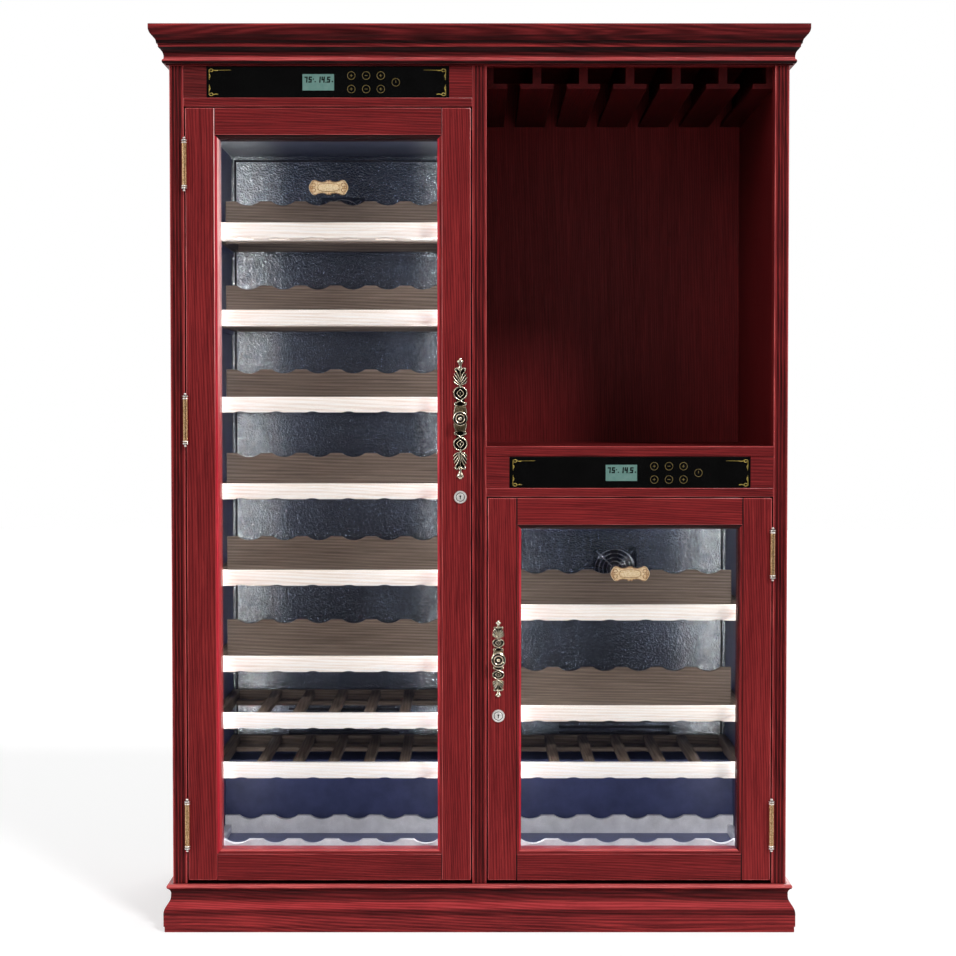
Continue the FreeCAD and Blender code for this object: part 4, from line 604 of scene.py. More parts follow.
# Bands of the cornice and plinth profiles take lit and shaded copies of the wood: painted highlights and painted shade
# where light falls on the curves
CORNICE_PAINTED_SHADING = ((1819, 1822, shade), (1822, 1827.5, joint_and_shade), (1829, 1834, edge_highlight), (1837, 1846, shade),
                 (1846, 1856, joint_and_shade), (1862.1, 1868, joint_and_shade), (1868, 1878, shade), (1878, 1896, dim))
PLINTH_PAINTED_SHADING = ((11.9, 22, lit), (26, 46, dim), (50, 62, lit), (66, 78.5, dim), (78.5, 90, shade), (94, 100.1, edge_highlight))
Shape().moulding(CORNICE, figured["x"], figured["y"], CORNICE_PAINTED_SHADING).piece(
    "cornice_moulding", "cabinet", "mahogany", ["cornice"], 38)
plinth = Shape().moulding(PLINTH, figured["x"], figured["y"], PLINTH_PAINTED_SHADING)
# The plinth's top face behind the bead takes painted shade for the gap under the doors, and the back board's arrises a
# painted highlight
plinth.tint(lambda middle, area: middle.z > 99.9 and middle.y > FRONT - 1.9 and abs(middle.x) < HALF_BODY,
            joint_and_shade["x"])
plinth.block((-623, 623), (318, 340), (0, 80), mahogany["x"], 1.5, edge_highlight["x"])
plinth.piece("plinth_moulding", "cabinet", "mahogany", ["plinth"], 38)


# Fluted stiles

def fluted_stile(name, middle):
    members = [(-15, -262), (-15, -300), (-13, -302)]
    for centre in (-7, 0, 7):
        members += [(centre - 2.5, -302), (centre + 2.5, -302, -2.9)]
    members += [(13, -302), (15, -300), (15, -262)]
    corners = [(middle + u, v) for u, v in outline(members, 6)]

    # Flute faces take painted shade and the rounded arrises beside them a painted highlight
    def by_edge(number):
        start = corners[number]
        end = corners[(number + 1) % len(corners)]
        if max(start[1], end[1]) > -301.99 and max(abs(start[0] - middle), abs(end[0] - middle)) < 12:
            return shade["z"]
        if abs(abs((start[0] + end[0]) / 2 - middle) - 14) < 0.5 and abs(start[1] - end[1]) > 1:
            return edge_highlight["z"]
        return mahogany["z"]

    shape = Shape().prism(corners[::-1], as_plan, 100, 1880, mahogany["z"],
                          lambda number: by_edge(len(corners) - 2 - number))
    shape.piece(name + "_fluted", "cabinet", "mahogany", [name], 30)


for name, middle in (("stile_left", -633), ("stile_centre", 0), ("stile_right", 633)):
    fluted_stile(name, middle)


# Fascias and the rail that carries the niche floor

for side in SIDES:
    foot = PANEL_FOOT[side]
    shape = Shape()
    for near, far in ((15, 63), (570, 618)):
        tone = dark_block if side == "left" and near > 63 else mahogany["x"]
        shape.block(across(side, near, far), (FRONT, FRONT + 20), (foot, foot + 66), tone, 1, tone)
    # The rail's rounded arrises get a painted highlight
    shape.block(across(side, 15, 618), (FRONT, FRONT + 20), (foot - 18, foot), mahogany["x"], 1, edge_highlight["x"])
    shape.piece(f"fascia_{side}_boards", "cabinet", "mahogany", [f"fascia_{side}"])

nose = outline([(-298, 1003), (-262, 1003), (-262, 1025), (-298, 1025), (-302, 1021, 4), (-302, 1007), (-298, 1003, 4)])
# The nose's rounded top arris gets a painted highlight
Shape().prism(nose[:-1], as_side, 15, 618, mahogany["x"],
              lambda number: edge_highlight["x"] if 3 <= number <= 7 else mahogany["x"]).block(
    (12, 623), (-262, 310), (1003, 1025), mahogany["x"]).piece(
        "niche_floor_board", "cabinet", "mahogany", ["niche_floor"], 35)


# Doors

TOP_RAIL = {"left": mahogany["x"], "right": bright_rail}


def door_frame(side):
    body = f"door_{side}"
    outside = across(side, DOOR_INNER, DOOR_OUTER)
    opening = across(side, DOOR_INNER + STILE_WIDTH, DOOR_OUTER - STILE_WIDTH)
    foot = DOOR_FOOT
    top = DOOR_TOP[side]
    low = foot + RAIL_WIDTH
    high = top - RAIL_WIDTH
    back = FRONT + DOOR_THICKNESS
    lap = STICKING_WIDTH
    shape = Shape()
    # Rounded arrises of the stiles and rails get a painted highlight
    shape.block((outside[0], opening[0] - lap), (FRONT, back), (foot, top), mahogany["z"], 1.6, edge_highlight["z"])
    joint = opening[0] - lap
    # Beside the rail joint the left door's stile arris gets a pale painted highlight, the right door's a dark joint
    # with painted shade
    shape.tint(lambda middle, area: joint - 2 < middle.x < joint - 0.1 and middle.y < FRONT + 1.7,
               painted_highlight if side == "left" else joint_and_shade["z"])
    shape.block((opening[1] + lap, outside[1]), (FRONT, back), (foot, top), mahogany["z"], 1.6, edge_highlight["z"])
    # The right door's other stile arris also gets a dark joint with painted shade
    if side == "right":
        joint = opening[1] + lap
        shape.tint(lambda middle, area: joint + 0.1 < middle.x < joint + 2 and middle.y < FRONT + 1.7, joint_and_shade["z"])
    for z, tone in (((foot, low - lap), mahogany["x"]), ((high + lap, top), TOP_RAIL[side])):
        shape.block((opening[0] - lap, opening[1] + lap), (FRONT, back), z, tone, 1.2, edge_highlight["x"])
    for end in (opening[0] - lap, opening[1] + lap):
        shape.tint(lambda middle, area: 0.1 < (middle.x - end) * (1 if end < sum(opening) / 2 else -1) < 1.3
                   and middle.y < FRONT + 1.3 and not low < middle.z < high, joint_and_shade["x"])
    section = [(lap, 0.6), (lap - 1.2, 0), (lap - 3.2, 0.5), (lap - 5.2, 2), (lap - 7, 4.2), (lap - 8, STICKING_DEPTH),
               (0, STICKING_DEPTH + 0.6), (0, DOOR_THICKNESS), (lap, DOOR_THICKNESS)]
    rings = []
    for corner_x, corner_z, out_x, out_z in ((opening[0], low, -1, -1), (opening[1], low, 1, -1),
                                              (opening[1], high, 1, 1), (opening[0], high, -1, 1)):
        rings.append([shape.mesh.verts.new((corner_x + out_x * offset, FRONT + depth, corner_z + out_z * offset))
                      for offset, depth in section])
    # Each side of the sticking takes a lit or shaded copy of the wood by the way it faces: painted light and shade
    tones = ((mahogany["x"], edge_highlight["x"]), (mahogany["z"], lit_bevel["z"] if side == "left" else shade["z"]),
             (joint_and_shade["x"], joint_and_shade["x"]), (lit_bevel["z"], painted_highlight) if side == "left" else (mahogany["z"], lit_bevel["z"]))
    for number, (outer_tone, inner_tone) in enumerate(tones):
        first = rings[number]
        last = rings[(number + 1) % 4]
        for corner in range(len(section)):
            following = (corner + 1) % len(section)
            finish = outer_tone if corner < 3 else inner_tone
            shape.face([first[corner], last[corner], last[following], first[following]], finish)
    shape.piece(f"door_frame_{side}_boards", body, "mahogany", [f"door_frame_{side}"])


def door_glazing(side):
    body = f"door_{side}"
    lap = REBATE - 1
    opening = across(side, DOOR_INNER + STILE_WIDTH - lap, DOOR_OUTER - STILE_WIDTH + lap)
    z = (DOOR_FOOT + RAIL_WIDTH - lap, DOOR_TOP[side] - RAIL_WIDTH + lap)
    panes = Shape()
    first = FRONT + GLASS_SEAT
    second = first + PANE + PANE_SPACE
    for near in (first, second):
        panes.block(opening, (near, near + PANE), z, glass, 0.5)
    panes.piece(f"door_glass_{side}_panes", body, "glass", [f"door_glass_{side}"])
    spacer = Shape()
    y = (first + PANE, second)
    width = 8
    for x in ((opening[0], opening[0] + width), (opening[1] - width, opening[1])):
        spacer.block(x, y, z, aluminium[side], 0.4)
    for level in ((z[0], z[0] + width), (z[1] - width, z[1])):
        spacer.block((opening[0] + width, opening[1] - width), y, level, aluminium[side], 0.4)
    spacer.piece(f"door_glass_{side}_spacer", body, "glass", [f"door_glass_{side}"])


for side in SIDES:
    door_frame(side)
    door_glazing(side)


# Handles: openwork of scrolls and leaves on a dark plate, for patina and painted shade in the gaps, the same above and
# below the knob

SCROLLS = [
    # Rim of the neck plate beside the knob
    [(13.2, 10, 1.0), (12.2, 20, 1.0), (10.4, 26, 0.9)],
    # Side curl
    [(5, 28, 0.8), (9, 27, 1.0), (12.8, 30, 1.2), (11.5, 34, 1.1), (8, 34, 0.9), (8, 31, 0.7)],
    # Crossed bands
    [(12, 32, 0.8), (6, 34.5, 1.1), (-6, 42, 1.1), (-12, 45, 0.8)],
    # Oval frame, and the diamond inside it
    [(3, 41, 0.9), (10, 44, 1.1), (14, 51, 1.4), (13.4, 59, 1.4), (8, 65.5, 1.2), (2, 67.5, 1.0)],
    [(0, 45, 0.8), (3.5, 48.5, 1.0), (8, 53.5, 1.0), (3.5, 58.5, 1.0), (0, 62, 0.8)],
    [(0, 51, 0.9), (0, 56, 1.6)],
    # Loop between the oval and the leaves
    [(0, 65.5, 0.8), (3.4, 68.5, 0.9), (0, 72, 0.8)],
    # Leaves that fan out
    [(1.5, 72, 0.9), (6, 72.5, 1.2), (11, 75, 1.4), (14.4, 80, 0.6)],
    [(1.5, 74, 0.9), (6, 77.5, 1.2), (11, 82.5, 1.4), (14, 88, 0.6)],
    [(1.3, 77, 0.9), (5, 84, 1.2), (9.5, 90.5, 1.4), (12.8, 95.5, 0.6)],
    [(1.2, 81, 0.9), (3.4, 90, 1.2), (7, 97, 1.4), (10.6, 101, 0.6)],
    [(0, 78, 1.0), (0, 92, 1.5), (0, 106, 0.6)],
    # Curls under the finial
    [(1.5, 101, 0.8), (3.6, 105.5, 1.1), (8.5, 107.5, 1.4), (12, 104.5, 1.2), (9.6, 101.5, 0.9), (8, 103.5, 0.6)],
]
RECESS = [(13, 0), (12.8, 12), (10.4, 27), (12.4, 31), (9, 35), (8, 39), (12, 45), (13.8, 54), (11, 62), (3.6, 67),
          (3, 72), (10, 74), (13, 82), (12, 92), (9, 99), (9.5, 105), (3, 108), (0, 108)]
CROWN = [(0, 103), (3.4, 105), (3.8, 108), (2.4, 110), (2.4, 113), (3.4, 114), (3, 116.5), (5.8, 118.5), (6.7, 121),
         (5.6, 123.4), (3, 124.6), (2.4, 126), (2.2, 127.6), (0, 129)]
BELL = [(0, 103), (3.2, 105), (3.4, 108), (2.4, 110), (2.6, 113), (4.4, 116), (6.6, 119.5), (7.5, 122), (6.8, 124.2),
        (4.6, 125.5), (3.4, 127.5), (0, 129)]
KNOB = [(13.8, 0), (14.2, 1.5), (12, 3), (7, 4), (6, 6), (6.5, 12), (11, 15), (14.8, 18), (15.2, 20.5), (14.8, 22.6),
        (13.7, 23.2), (12.9, 21), (11.1, 21), (10.6, 24), (9.2, 25.6), (7.6, 24.8), (6.8, 22.2), (4.7, 22.2),
        (4.1, 25), (3, 27), (1.5, 27.8), (0, 28)]
KNOB_GROOVES = (3, 4, 10, 11, 12, 15, 16, 17)
HANDLE_DRAWN = 258


def handle(side):
    body = f"door_{side}"
    centre = HANDLE_X * SIDES[side]
    level = HANDLE_LEVEL[side]
    shrink = HANDLE_LENGTH[side] / HANDLE_DRAWN
    narrow = 1 if side == "left" else 0.85
    bar = 0.98 if side == "left" else 0.74
    recess = [(u * narrow, v * shrink) for u, v in RECESS]
    corners = recess + [(-u, v) for u, v in recess[-2::-1]]
    corners += [(u, -v) for u, v in [(-u, v) for u, v in recess[1:]]] + [(u, -v) for u, v in recess[-2:0:-1]]
    # A near-black plate behind the openwork: patina and painted shade in the gaps
    plate = Shape().prism([(centre + u, level + v) for u, v in corners], as_front, FRONT - 1, FRONT, patina_and_shade_brass)
    neck = [(11.5, 8), (10.6, 20), (8.6, 27), (-8.6, 27), (-10.6, 20), (-11.5, 8)]
    for upward in (1, -1):
        corners = [(centre + u * narrow, level + v * shrink * upward) for u, v in neck]
        plate.prism(corners, as_front, FRONT - 1.9, FRONT - 1, plate_brass, rounding=0.4)
    plate.piece(f"door_handle_{side}_plate", body, "brass", [f"door_handle_{side}"], 40)
    lines = [[(centre + u * hand * narrow, FRONT - 1 - bar * 0.8, level + v * shrink * upward, width)
              for u, v, width in line] for upward in (1, -1) for line in SCROLLS for hand in (1, -1)]
    strokes(f"door_handle_{side}_scrolls", lines, bar, brass, body, [f"door_handle_{side}"])
    shape = Shape()
    for upward, outline_points in ((1, CROWN), (-1, BELL)):
        profile = [(radius * narrow, height * shrink * upward) for radius, height in outline_points]
        shape.lathe(lambda u, v, along: (centre + u, FRONT - 3 + v * 0.42, level + along), profile, brass, 20)
    # The knob's grooves are near black: patina and painted shade
    shape.lathe(outward_from(centre, FRONT - 3, level), KNOB, brass, 48, patina_and_shade_brass, KNOB_GROOVES)
    shape.piece(f"door_handle_{side}_knob", body, "brass", [f"door_handle_{side}"], 50)


LOCK_FACE = [(0, -30), (8, -30), (8, 0), (13.3, 0), (13.5, 1), (13.2, 2.8), (12.2, 4), (10.4, 4), (9.6, 3.2), (8.2, 3),
             (7.6, 3.8), (6.8, 4), (6.1, 3.6), (6.1, -29), (0, -29)]
LOCK_GROOVES = (7,)
KEYWAY = outline([(-0.9, -4), (0.9, -4), (0.9, 0.4), (0, 4, 1.9), (-0.9, 0.4, 1.9)], 6)


def lock(side):
    place = outward_from(HANDLE_X * SIDES[side], FRONT, LOCK_LEVEL[side])
    # The lock's groove is near black: patina and painted shade
    Shape().lathe(place, LOCK_FACE[1:-1], nickel, 48, patina_and_shade_brass, LOCK_GROOVES).piece(
        f"lock_barrel_{side}_turned", f"door_{side}", "chrome", [f"lock_barrel_{side}"], 40)
    centre = HANDLE_X * SIDES[side]
    level = LOCK_LEVEL[side]
    # A dark sheet on the plug face: painted shade in the keyway's slot
    keyway = Shape().prism([(centre + u, level + v) for u, v in KEYWAY], as_front, FRONT - 6.3, FRONT - 5.9, rubber)
    keyway.piece(f"lock_keyway_{side}", f"lock_{side}", "rubber", smooth=30)


TIP = [(0, 0), (4.9, 0), (5.9, 0.6), (6.1, 1.6), (5.9, 2.6), (5.0, 3.1), (5.0, 4.6), (5.9, 5.1), (6.1, 6.1), (5.9, 7.1),
       (4.6, 7.8), (3.4, 9.4), (2.8, 10.2), (3.2, 11.2), (2.6, 12.6), (0, 13.4)]

TIP_GROOVES = (5, 6, 10)


def hinge_tips(side):
    x = HINGE_X * SIDES[side]
    low = Shape()
    high = Shape()
    for level in HINGE_LEVELS[side]:
        foot = level - HINGE_LENGTH / 2
        head = level + HINGE_LENGTH / 2
        # The tips' grooves are near black: patina and painted shade
        low.lathe(lambda u, v, along, foot=foot: (x + u, HINGE_Y + v, foot + 4 - along), TIP, tip_metal, 24,
                  patina_and_shade_brass, TIP_GROOVES)
        high.lathe(lambda u, v, along, head=head: (x + u, HINGE_Y + v, head - 4 + along), TIP, tip_metal, 24,
                   patina_and_shade_brass, TIP_GROOVES)
    low.piece(f"hinge_tips_low_{side}", "cabinet", "brass", smooth=50)
    high.piece(f"hinge_tips_high_{side}", f"door_{side}", "brass", smooth=50)


for side in SIDES:
    handle(side)
    lock(side)
    hinge_tips(side)


# Badges on the glass: plain cartouches with no words

BADGE_PLACE = {"left": (-316, 1567), "right": (318, 756)}
BADGE_HALF = [(0, 12.5), (3, 15.5, -3.4), (6.5, 12.5), (15, 11.5), (24, 13.5), (30, 15.5, -7), (37, 10, -8), (41, 0, -16)]


def badge(side):
    x, z = BADGE_PLACE[side]
    body = f"door_{side}"
    quarter = outline(BADGE_HALF, 5)
    lower = [(u, -v) for u, v in reversed(quarter[:-1])]
    right = quarter + lower
    left = [(-u, v) for u, v in reversed(right[1:-1])]
    corners = [(x + u, z + v) for u, v in right + left]
    face = FRONT + GLASS_SEAT
    shape = Shape().prism(corners, as_front, face - 1.2, face, gold)
    plaque = [(-22, 0), (-19, 6), (-8, 7.5), (8, 7.5), (19, 6), (22, 0), (19, -6), (8, -7.5), (-8, -7.5), (-19, -6)]
    shape.prism([(x + u, z + v) for u, v in plaque], as_front, face - 2.2, face - 1.2, gold, rounding=0.5)
    shape.piece(f"badge_{side}_plate", body, "brass", smooth=30)
    depth = face - 1.5
    lines = [[(x + u * 0.95, depth, z + v * 0.92, 1) for u, v in right + left],
             [(x + u * 1.06, depth, z + v * 1.12, 0.8) for u, v in plaque]]
    for hand in (1, -1):
        lines.append(ring_line(x + hand * 31, depth, z + 5.5, 4.2))
        lines.append(ring_line(x + hand * 31, depth, z - 5.5, 4.2))
        lines.append(ring_line(x + hand * 36, depth, z, 2.2))
    strokes(f"badge_{side}_lines", lines, 0.75, gold_line, body, cyclic=True)


for side in SIDES:
    badge(side)


# Control panels

SEGMENTS = {
    "0": "abcdef", "1": "bc", "2": "abged", "3": "abgcd", "4": "fgbc", "5": "afgcd", "6": "afgedc", "7": "abc",
    "8": "abcdefg", "9": "abcdfg",
}


def digit(shape, character, x, z, y, height, finish):
    """One seven-segment digit, its foot at (x, z)."""
    width = height * 0.56
    thick = height * 0.24
    half = height / 2
    bars = {
        "a": ((0, width), (height - thick, height)),
        "g": ((0, width), (half - thick / 2, half + thick / 2)),
        "d": ((0, width), (0, thick)),
        "f": ((0, thick), (half, height)),
        "b": ((width - thick, width), (half, height)),
        "e": ((0, thick), (0, half)),
        "c": ((width - thick, width), (0, half)),
    }
    for letter in SEGMENTS[character]:
        (left, right), (low, high) = bars[letter]
        gap = thick * 0.06
        lean = height * 0.08
        corners = [(x + left + gap, z + low + gap), (x + right - gap, z + low + gap),
                   (x + right - gap, z + high - gap), (x + left + gap, z + high - gap)]
        corners = [(u + (v - z) / height * lean, v) for u, v in corners]
        shape.prism(corners, as_front, y - 0.1, y, finish)


def control_panel(side):
    centre = BAY_CENTRE * SIDES[side]
    level = PANEL_FOOT[side] + 32
    face = FRONT + 1
    display_x = centre - 19
    shape = Shape()
    shape.block((display_x - 33, display_x + 33), (face - 0.3, face + 0.2), (level - 17, level + 17), display_green, 0.1)
    foot = level - 1
    for character, offset in (("7", -30), ("5", -21), ("1", -2.5), ("4", 6), ("5", 17.5)):
        digit(shape, character, display_x + offset, foot, face - 0.3, 13, ink)
    for offset, low, size in ((15, 0, 2), (-11.5, 6.5, 2.4), (-7.5, 1, 2.4), (28, 1, 3)):
        shape.block((display_x + offset, display_x + offset + size), (face - 0.4, face - 0.3),
                    (foot + low, foot + low + size), ink)
    shape.piece(f"control_display_{side}", "cabinet", "black_panel")
    keys = []
    marks = []
    for number, offset in enumerate((50, 81, 111.5)):
        for row in (14, -14):
            keys.append(ring_line(centre + offset, face - 0.2, level + row, 8.6))
            marks.append([(centre + offset - 3, face - 0.2, level + row, 1),
                          (centre + offset + 3, face - 0.2, level + row, 1)])
            if number != 1:
                marks.append([(centre + offset, face - 0.2, level + row - 3, 1),
                              (centre + offset, face - 0.2, level + row + 3, 1)])
    keys.append(ring_line(centre + 143, face - 0.2, level, 8.6))
    marks.append([(centre + 143, face - 0.2, level - 1, 1), (centre + 143, face - 0.2, level + 4, 1)])
    seal = Shape()
    foot = PANEL_FOOT[side]
    y = (FRONT + 5, FRONT + 18)
    for near, far in ((63, 70), (563, 570)):
        seal.block(across(side, near, far), y, (foot, foot + 66), rubber, 0.5)
    for low, high in ((foot, foot + 6), (foot + 58, foot + 66)):
        seal.block(across(side, 70, 563), y, (low, high), rubber, 0.5)
    seal.block(across(side, 13, 620), (STILE_BACK + 4, STILE_BACK + 10), (foot - 18, foot + 2), rubber, 0.8)
    seal.piece(f"control_panel_{side}_seal", "cabinet", "rubber")
    strokes(f"control_keys_{side}", keys, 0.5, key_gold, "cabinet", cyclic=True)
    strokes(f"control_key_marks_{side}", marks, 0.5, key_gold, "cabinet")
    corner_lines = []
    half_width = 253
    half_height = 32
    for hand in (1, -1):
        for upward in (1, -1):
            def at(u, v, width=1.0):
                return (centre + hand * (half_width - u), face - 0.2, level + upward * (half_height - v), width)
            reach = 52 if upward == 1 else 24
            corner_lines.append([at(14, 7, 0.6), at(22, 7, 0.7), at(reach, 6.6, 0.5)])
            corner_lines.append([at(6, 6, 0.8), at(6, 16), at(6.5, 27, 0.5)])
            corner_lines.append([at(6, 6), at(11, 3, 1.4), at(15, 7, 1.3), at(11, 11, 1.3), at(7, 8, 1)])
            corner_lines.append([at(15, 6), at(20, 9.5, 1.3), at(25, 6.5)])
            corner_lines.append([at(6, 15), at(10, 19, 1.3), at(6.5, 23)])
    strokes(f"control_corners_{side}", corner_lines, 0.65, bright_gold, "cabinet")


for side in SIDES:
    control_panel(side)


# Shelves and racks

def hollowed_bar(shape, centre, pitch, length, y, foot, height, width, depth, finish):
    """A crossbar with a row of round hollows in its top edge."""
    half = length / 2
    radius = (width * width / 4 + depth * depth) / (2 * depth)
    top = foot + height
    members = [(centre - half, foot), (centre + half, foot), (centre + half, top)]
    for number in reversed(range(CRADLES)):
        middle = centre + pitch * (number - (CRADLES - 1) / 2)
        members.append((middle + width / 2, top))
        members.append((middle - width / 2, top, -radius))
    members.append((centre - half, top))
    shape.prism(outline(members, 10), as_front, y[0], y[1], finish)


def shelf_frame(shape, side, level, front, pitch=77):
    under = level - 33
    x = across(side, CAVITY_INNER + SHELF_PLAY, CAVITY_OUTER - SHELF_PLAY)
    centre = (x[0] + x[1]) / 2
    members = [(x[0], under)]
    for number in range(CRADLES):
        middle = centre + pitch * (number - (CRADLES - 1) / 2)
        members += [(middle - 13, under), (middle + 13, under, -36)]
    members += [(x[1], under), (x[1], level), (x[0], level)]
    shape.prism(outline(members, 6), as_front, SHELF_FRONT, SHELF_FRONT + 18, front, rounding=1.6)
    for near in (x[0], x[1] - 18):
        shape.block((near, near + 18), (SHELF_FRONT + 18, SHELF_BACK), (under + 3, under + 29), shaded_beech["y"], 1.2)
    shape.block((x[0] + 18, x[1] - 18), (SHELF_BACK - 14, SHELF_BACK), (under + 3, under + 29), shaded_beech["x"], 1.2)
    return x


def display_shelf(side, number, level):
    centre = BAY_CENTRE * SIDES[side]
    shape = Shape()
    x = shelf_frame(shape, side, level, beech["x"])
    low = level - 30
    lines_x = [x[0] + 18]
    holes = set()
    for cradle in range(CRADLES):
        middle = centre + 77 * (cradle - (CRADLES - 1) / 2)
        lines_x += [middle - 22, middle + 22]
        holes.add((cradle * 2 + 1, 1))
    lines_x.append(x[1] - 18)
    shape.grid(lines_x, [-224, -186, -162, -124], holes, (low, low + 8), beech["x"])
    hollowed_bar(shape, centre, 77, x[1] - x[0] - 36, (-74, -60), low, 92, 52, 9, shaded_beech["x"])
    shape.piece(f"display_shelf_{side}_{number}_slatted", "cabinet", "beech", [f"display_shelf_{side}_{number}"], 30)


def storage_shelf(side, number, level):
    centre = BAY_CENTRE * SIDES[side]
    shape = Shape()
    x = shelf_frame(shape, side, level, pale_beech)
    low = level - 30
    for near in (-194, 79):
        shape.block((x[0] + 18, x[1] - 18), (near, near + 40), (low, low + 10), shaded_beech["x"], 1)
    for bar in range(CRADLES - 1):
        middle = centre + 77 * (bar + 1 - CRADLES / 2)
        shape.block((middle - 11, middle + 11), (-224, 149), (low + 10, low + 26), shaded_beech["y"], 3)
    shape.piece(f"storage_shelf_{side}_{number}_slatted", "cabinet", "beech", [f"storage_shelf_{side}_{number}"], 30)


def floor_rack(side):
    centre = BAY_CENTRE * SIDES[side]
    shape = Shape()
    length = 520
    for near in (-240, 16):
        hollowed_bar(shape, centre, 81, length, (near, near + 14), CAVITY_FLOOR, 40, 52, 9, white_rack)
    for x in (centre - length / 2, centre + length / 2 - 14):
        shape.block((x, x + 14), (-226, 16), (CAVITY_FLOOR, CAVITY_FLOOR + 20), white_rack, 1)
    shape.piece(f"floor_rack_{side}_hollowed", "cabinet", "white_rack", [f"floor_rack_{side}"], 30)


for side in SIDES:
    for number, level in enumerate(reversed(DISPLAY_LEVELS[side]), start=1):
        display_shelf(side, number, level)
    for number, level in enumerate(reversed(STORAGE_LEVELS[side]), start=1):
        storage_shelf(side, number, level)
    floor_rack(side)


# Wire guards over the fans

FAN_LEVEL = {"left": 1545, "right": 729}


def fan_guard(side):
    centre = BAY_CENTRE * SIDES[side]
    level = FAN_LEVEL[side]
    rings = [ring_line(centre, 176.5, level, radius) for radius in (10, 20, 30, 40, 50)]
    spokes = []
    for step in range(4):
        angle = math.pi / 4 + step * math.pi / 2
        across_x = math.cos(angle)
        across_z = math.sin(angle)
        spokes.append([(centre + across_x * reach, 177.2, level + across_z * reach, 1) for reach in (8, 30, 60)])
    strokes(f"fan_guard_{side}_rings", rings, 1.0, chrome, "cabinet", cyclic=True)
    strokes(f"fan_guard_{side}_spokes", spokes, 1.1, chrome, "cabinet")


def duct_shadow_gap(side):
    """A dark strip round the rim of the duct cover: painted shadow of the gap round it."""
    shape = Shape()
    top = DUCT_TOP[side]
    for near, far in ((DUCT_INNER, DUCT_INNER + 4), (DUCT_OUTER - 4, DUCT_OUTER)):
        shape.block(across(side, near, far), (177.4, 178), (310, top), rubber, 0.2)
    shape.block(across(side, DUCT_INNER + 4, DUCT_OUTER - 4), (177.4, 178), (top - 4, top), rubber, 0.2)
    shape.piece(f"duct_shadow_gap_{side}", "cabinet", "rubber")


# Cooling units: turned shell, round tube and wires, sleeved line

DUCT_INNER = 64.5
DUCT_OUTER = 570.5
DUCT_TOP = {"left": 1683, "right": 867}
COMPRESSOR_X = 197.5
COMPRESSOR_Y = 219
SHELL = [(0, 115), (52, 115), (62, 118), (66.6, 126), (66.6, 176), (69.5, 177.5), (69.5, 182.5), (66.6, 184),
         (66.6, 240), (65.5, 248), (60, 256), (46, 263), (26, 267), (0, 268)]
CONDENSER_Y = 280
CONDENSER_HALF = 243
CONDENSER_FOOT = 360
CONDENSER_PITCH = 100
CONDENSER_PASSES = {"left": 14, "right": 5}
CONDENSER_CORNER = 30
WIRES = 8


def cooling_unit(side):
    centre = BAY_CENTRE * SIDES[side]
    x = COMPRESSOR_X * SIDES[side]
    Shape().lathe(upward_from(x, COMPRESSOR_Y, 0), SHELL, black_steel, 48).piece(
        f"compressor_shell_{side}", "cabinet", "black_steel", smooth=35)
    strokes(f"suction_sleeve_{side}", [[(x, 251, 390, 1), (x, 265, 390, 1), (x, 265, 256, 1)]], 9.9, rubber,
            "cabinet", order=2)
    tube = []
    for number in range(CONDENSER_PASSES[side]):
        level = CONDENSER_FOOT + CONDENSER_PITCH * number
        hand = 1 if number % 2 == 0 else -1
        start = centre - hand * CONDENSER_HALF
        end = centre + hand * CONDENSER_HALF
        tube += [(start, CONDENSER_Y, level, 1), (end, CONDENSER_Y, level, 1)]
        if number < CONDENSER_PASSES[side] - 1:
            bend = end + hand * CONDENSER_CORNER
            tube += [(bend, CONDENSER_Y, level + CONDENSER_CORNER, 1),
                     (bend, CONDENSER_Y, level + CONDENSER_PITCH - CONDENSER_CORNER, 1)]
    strokes(f"condenser_tube_{side}", [tube], 3.8, black_steel, "cabinet", order=2)
    wires = []
    for number in range(WIRES):
        wire = centre + CONDENSER_HALF * ((2 * number + 1) / WIRES - 1)
        top = CONDENSER_FOOT + CONDENSER_PITCH * (CONDENSER_PASSES[side] - 0.75)
        wires.append([(wire, CONDENSER_Y + 3.6, CONDENSER_FOOT - 25, 1), (wire, CONDENSER_Y + 3.6, top, 1)])
    strokes(f"condenser_wires_{side}", wires, 1.6, black_steel, "cabinet", order=2)


for side in SIDES:
    fan_guard(side)
    duct_shadow_gap(side)
    cooling_unit(side)


# Finishes of the nodes that keep their own shape

# The stemware rack takes painted shade
CARRIED = {
    "side_panel_left": panel_wood, "side_panel_right": panel_wood, "centre_partition": dim_wood["z"],
    "top_board": mahogany["x"], "base_board": mahogany["x"], "niche_back": dim_wood["z"],
    "header_rails": mahogany["x"], "stemware_rack": shade["y"], "hinge_leaves_cabinet": hinge_brass,
}
for side in SIDES:
    CARRIED.update({
        f"control_panel_{side}": black_glass, f"cooler_case_{side}": coated_case, f"liner_{side}": liner[side],
        f"back_wall_{side}": aluminium[side], f"duct_cover_{side}": aluminium[side],
        f"led_strips_{side}": light_strip,
        f"cooling_unit_{side}": black_steel, f"door_gasket_{side}": rubber, f"lock_plug_{side}": nickel,
        f"hinge_leaves_door_{side}": hinge_brass, f"fan_{side}": black_plastic,
    })
for name, finish in CARRIED.items():
    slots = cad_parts[name].material_slots
    if not slots:
        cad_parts[name].data.materials.append(finish)
    for entry in slots:
        entry.material = finish


# Floor, light and camera

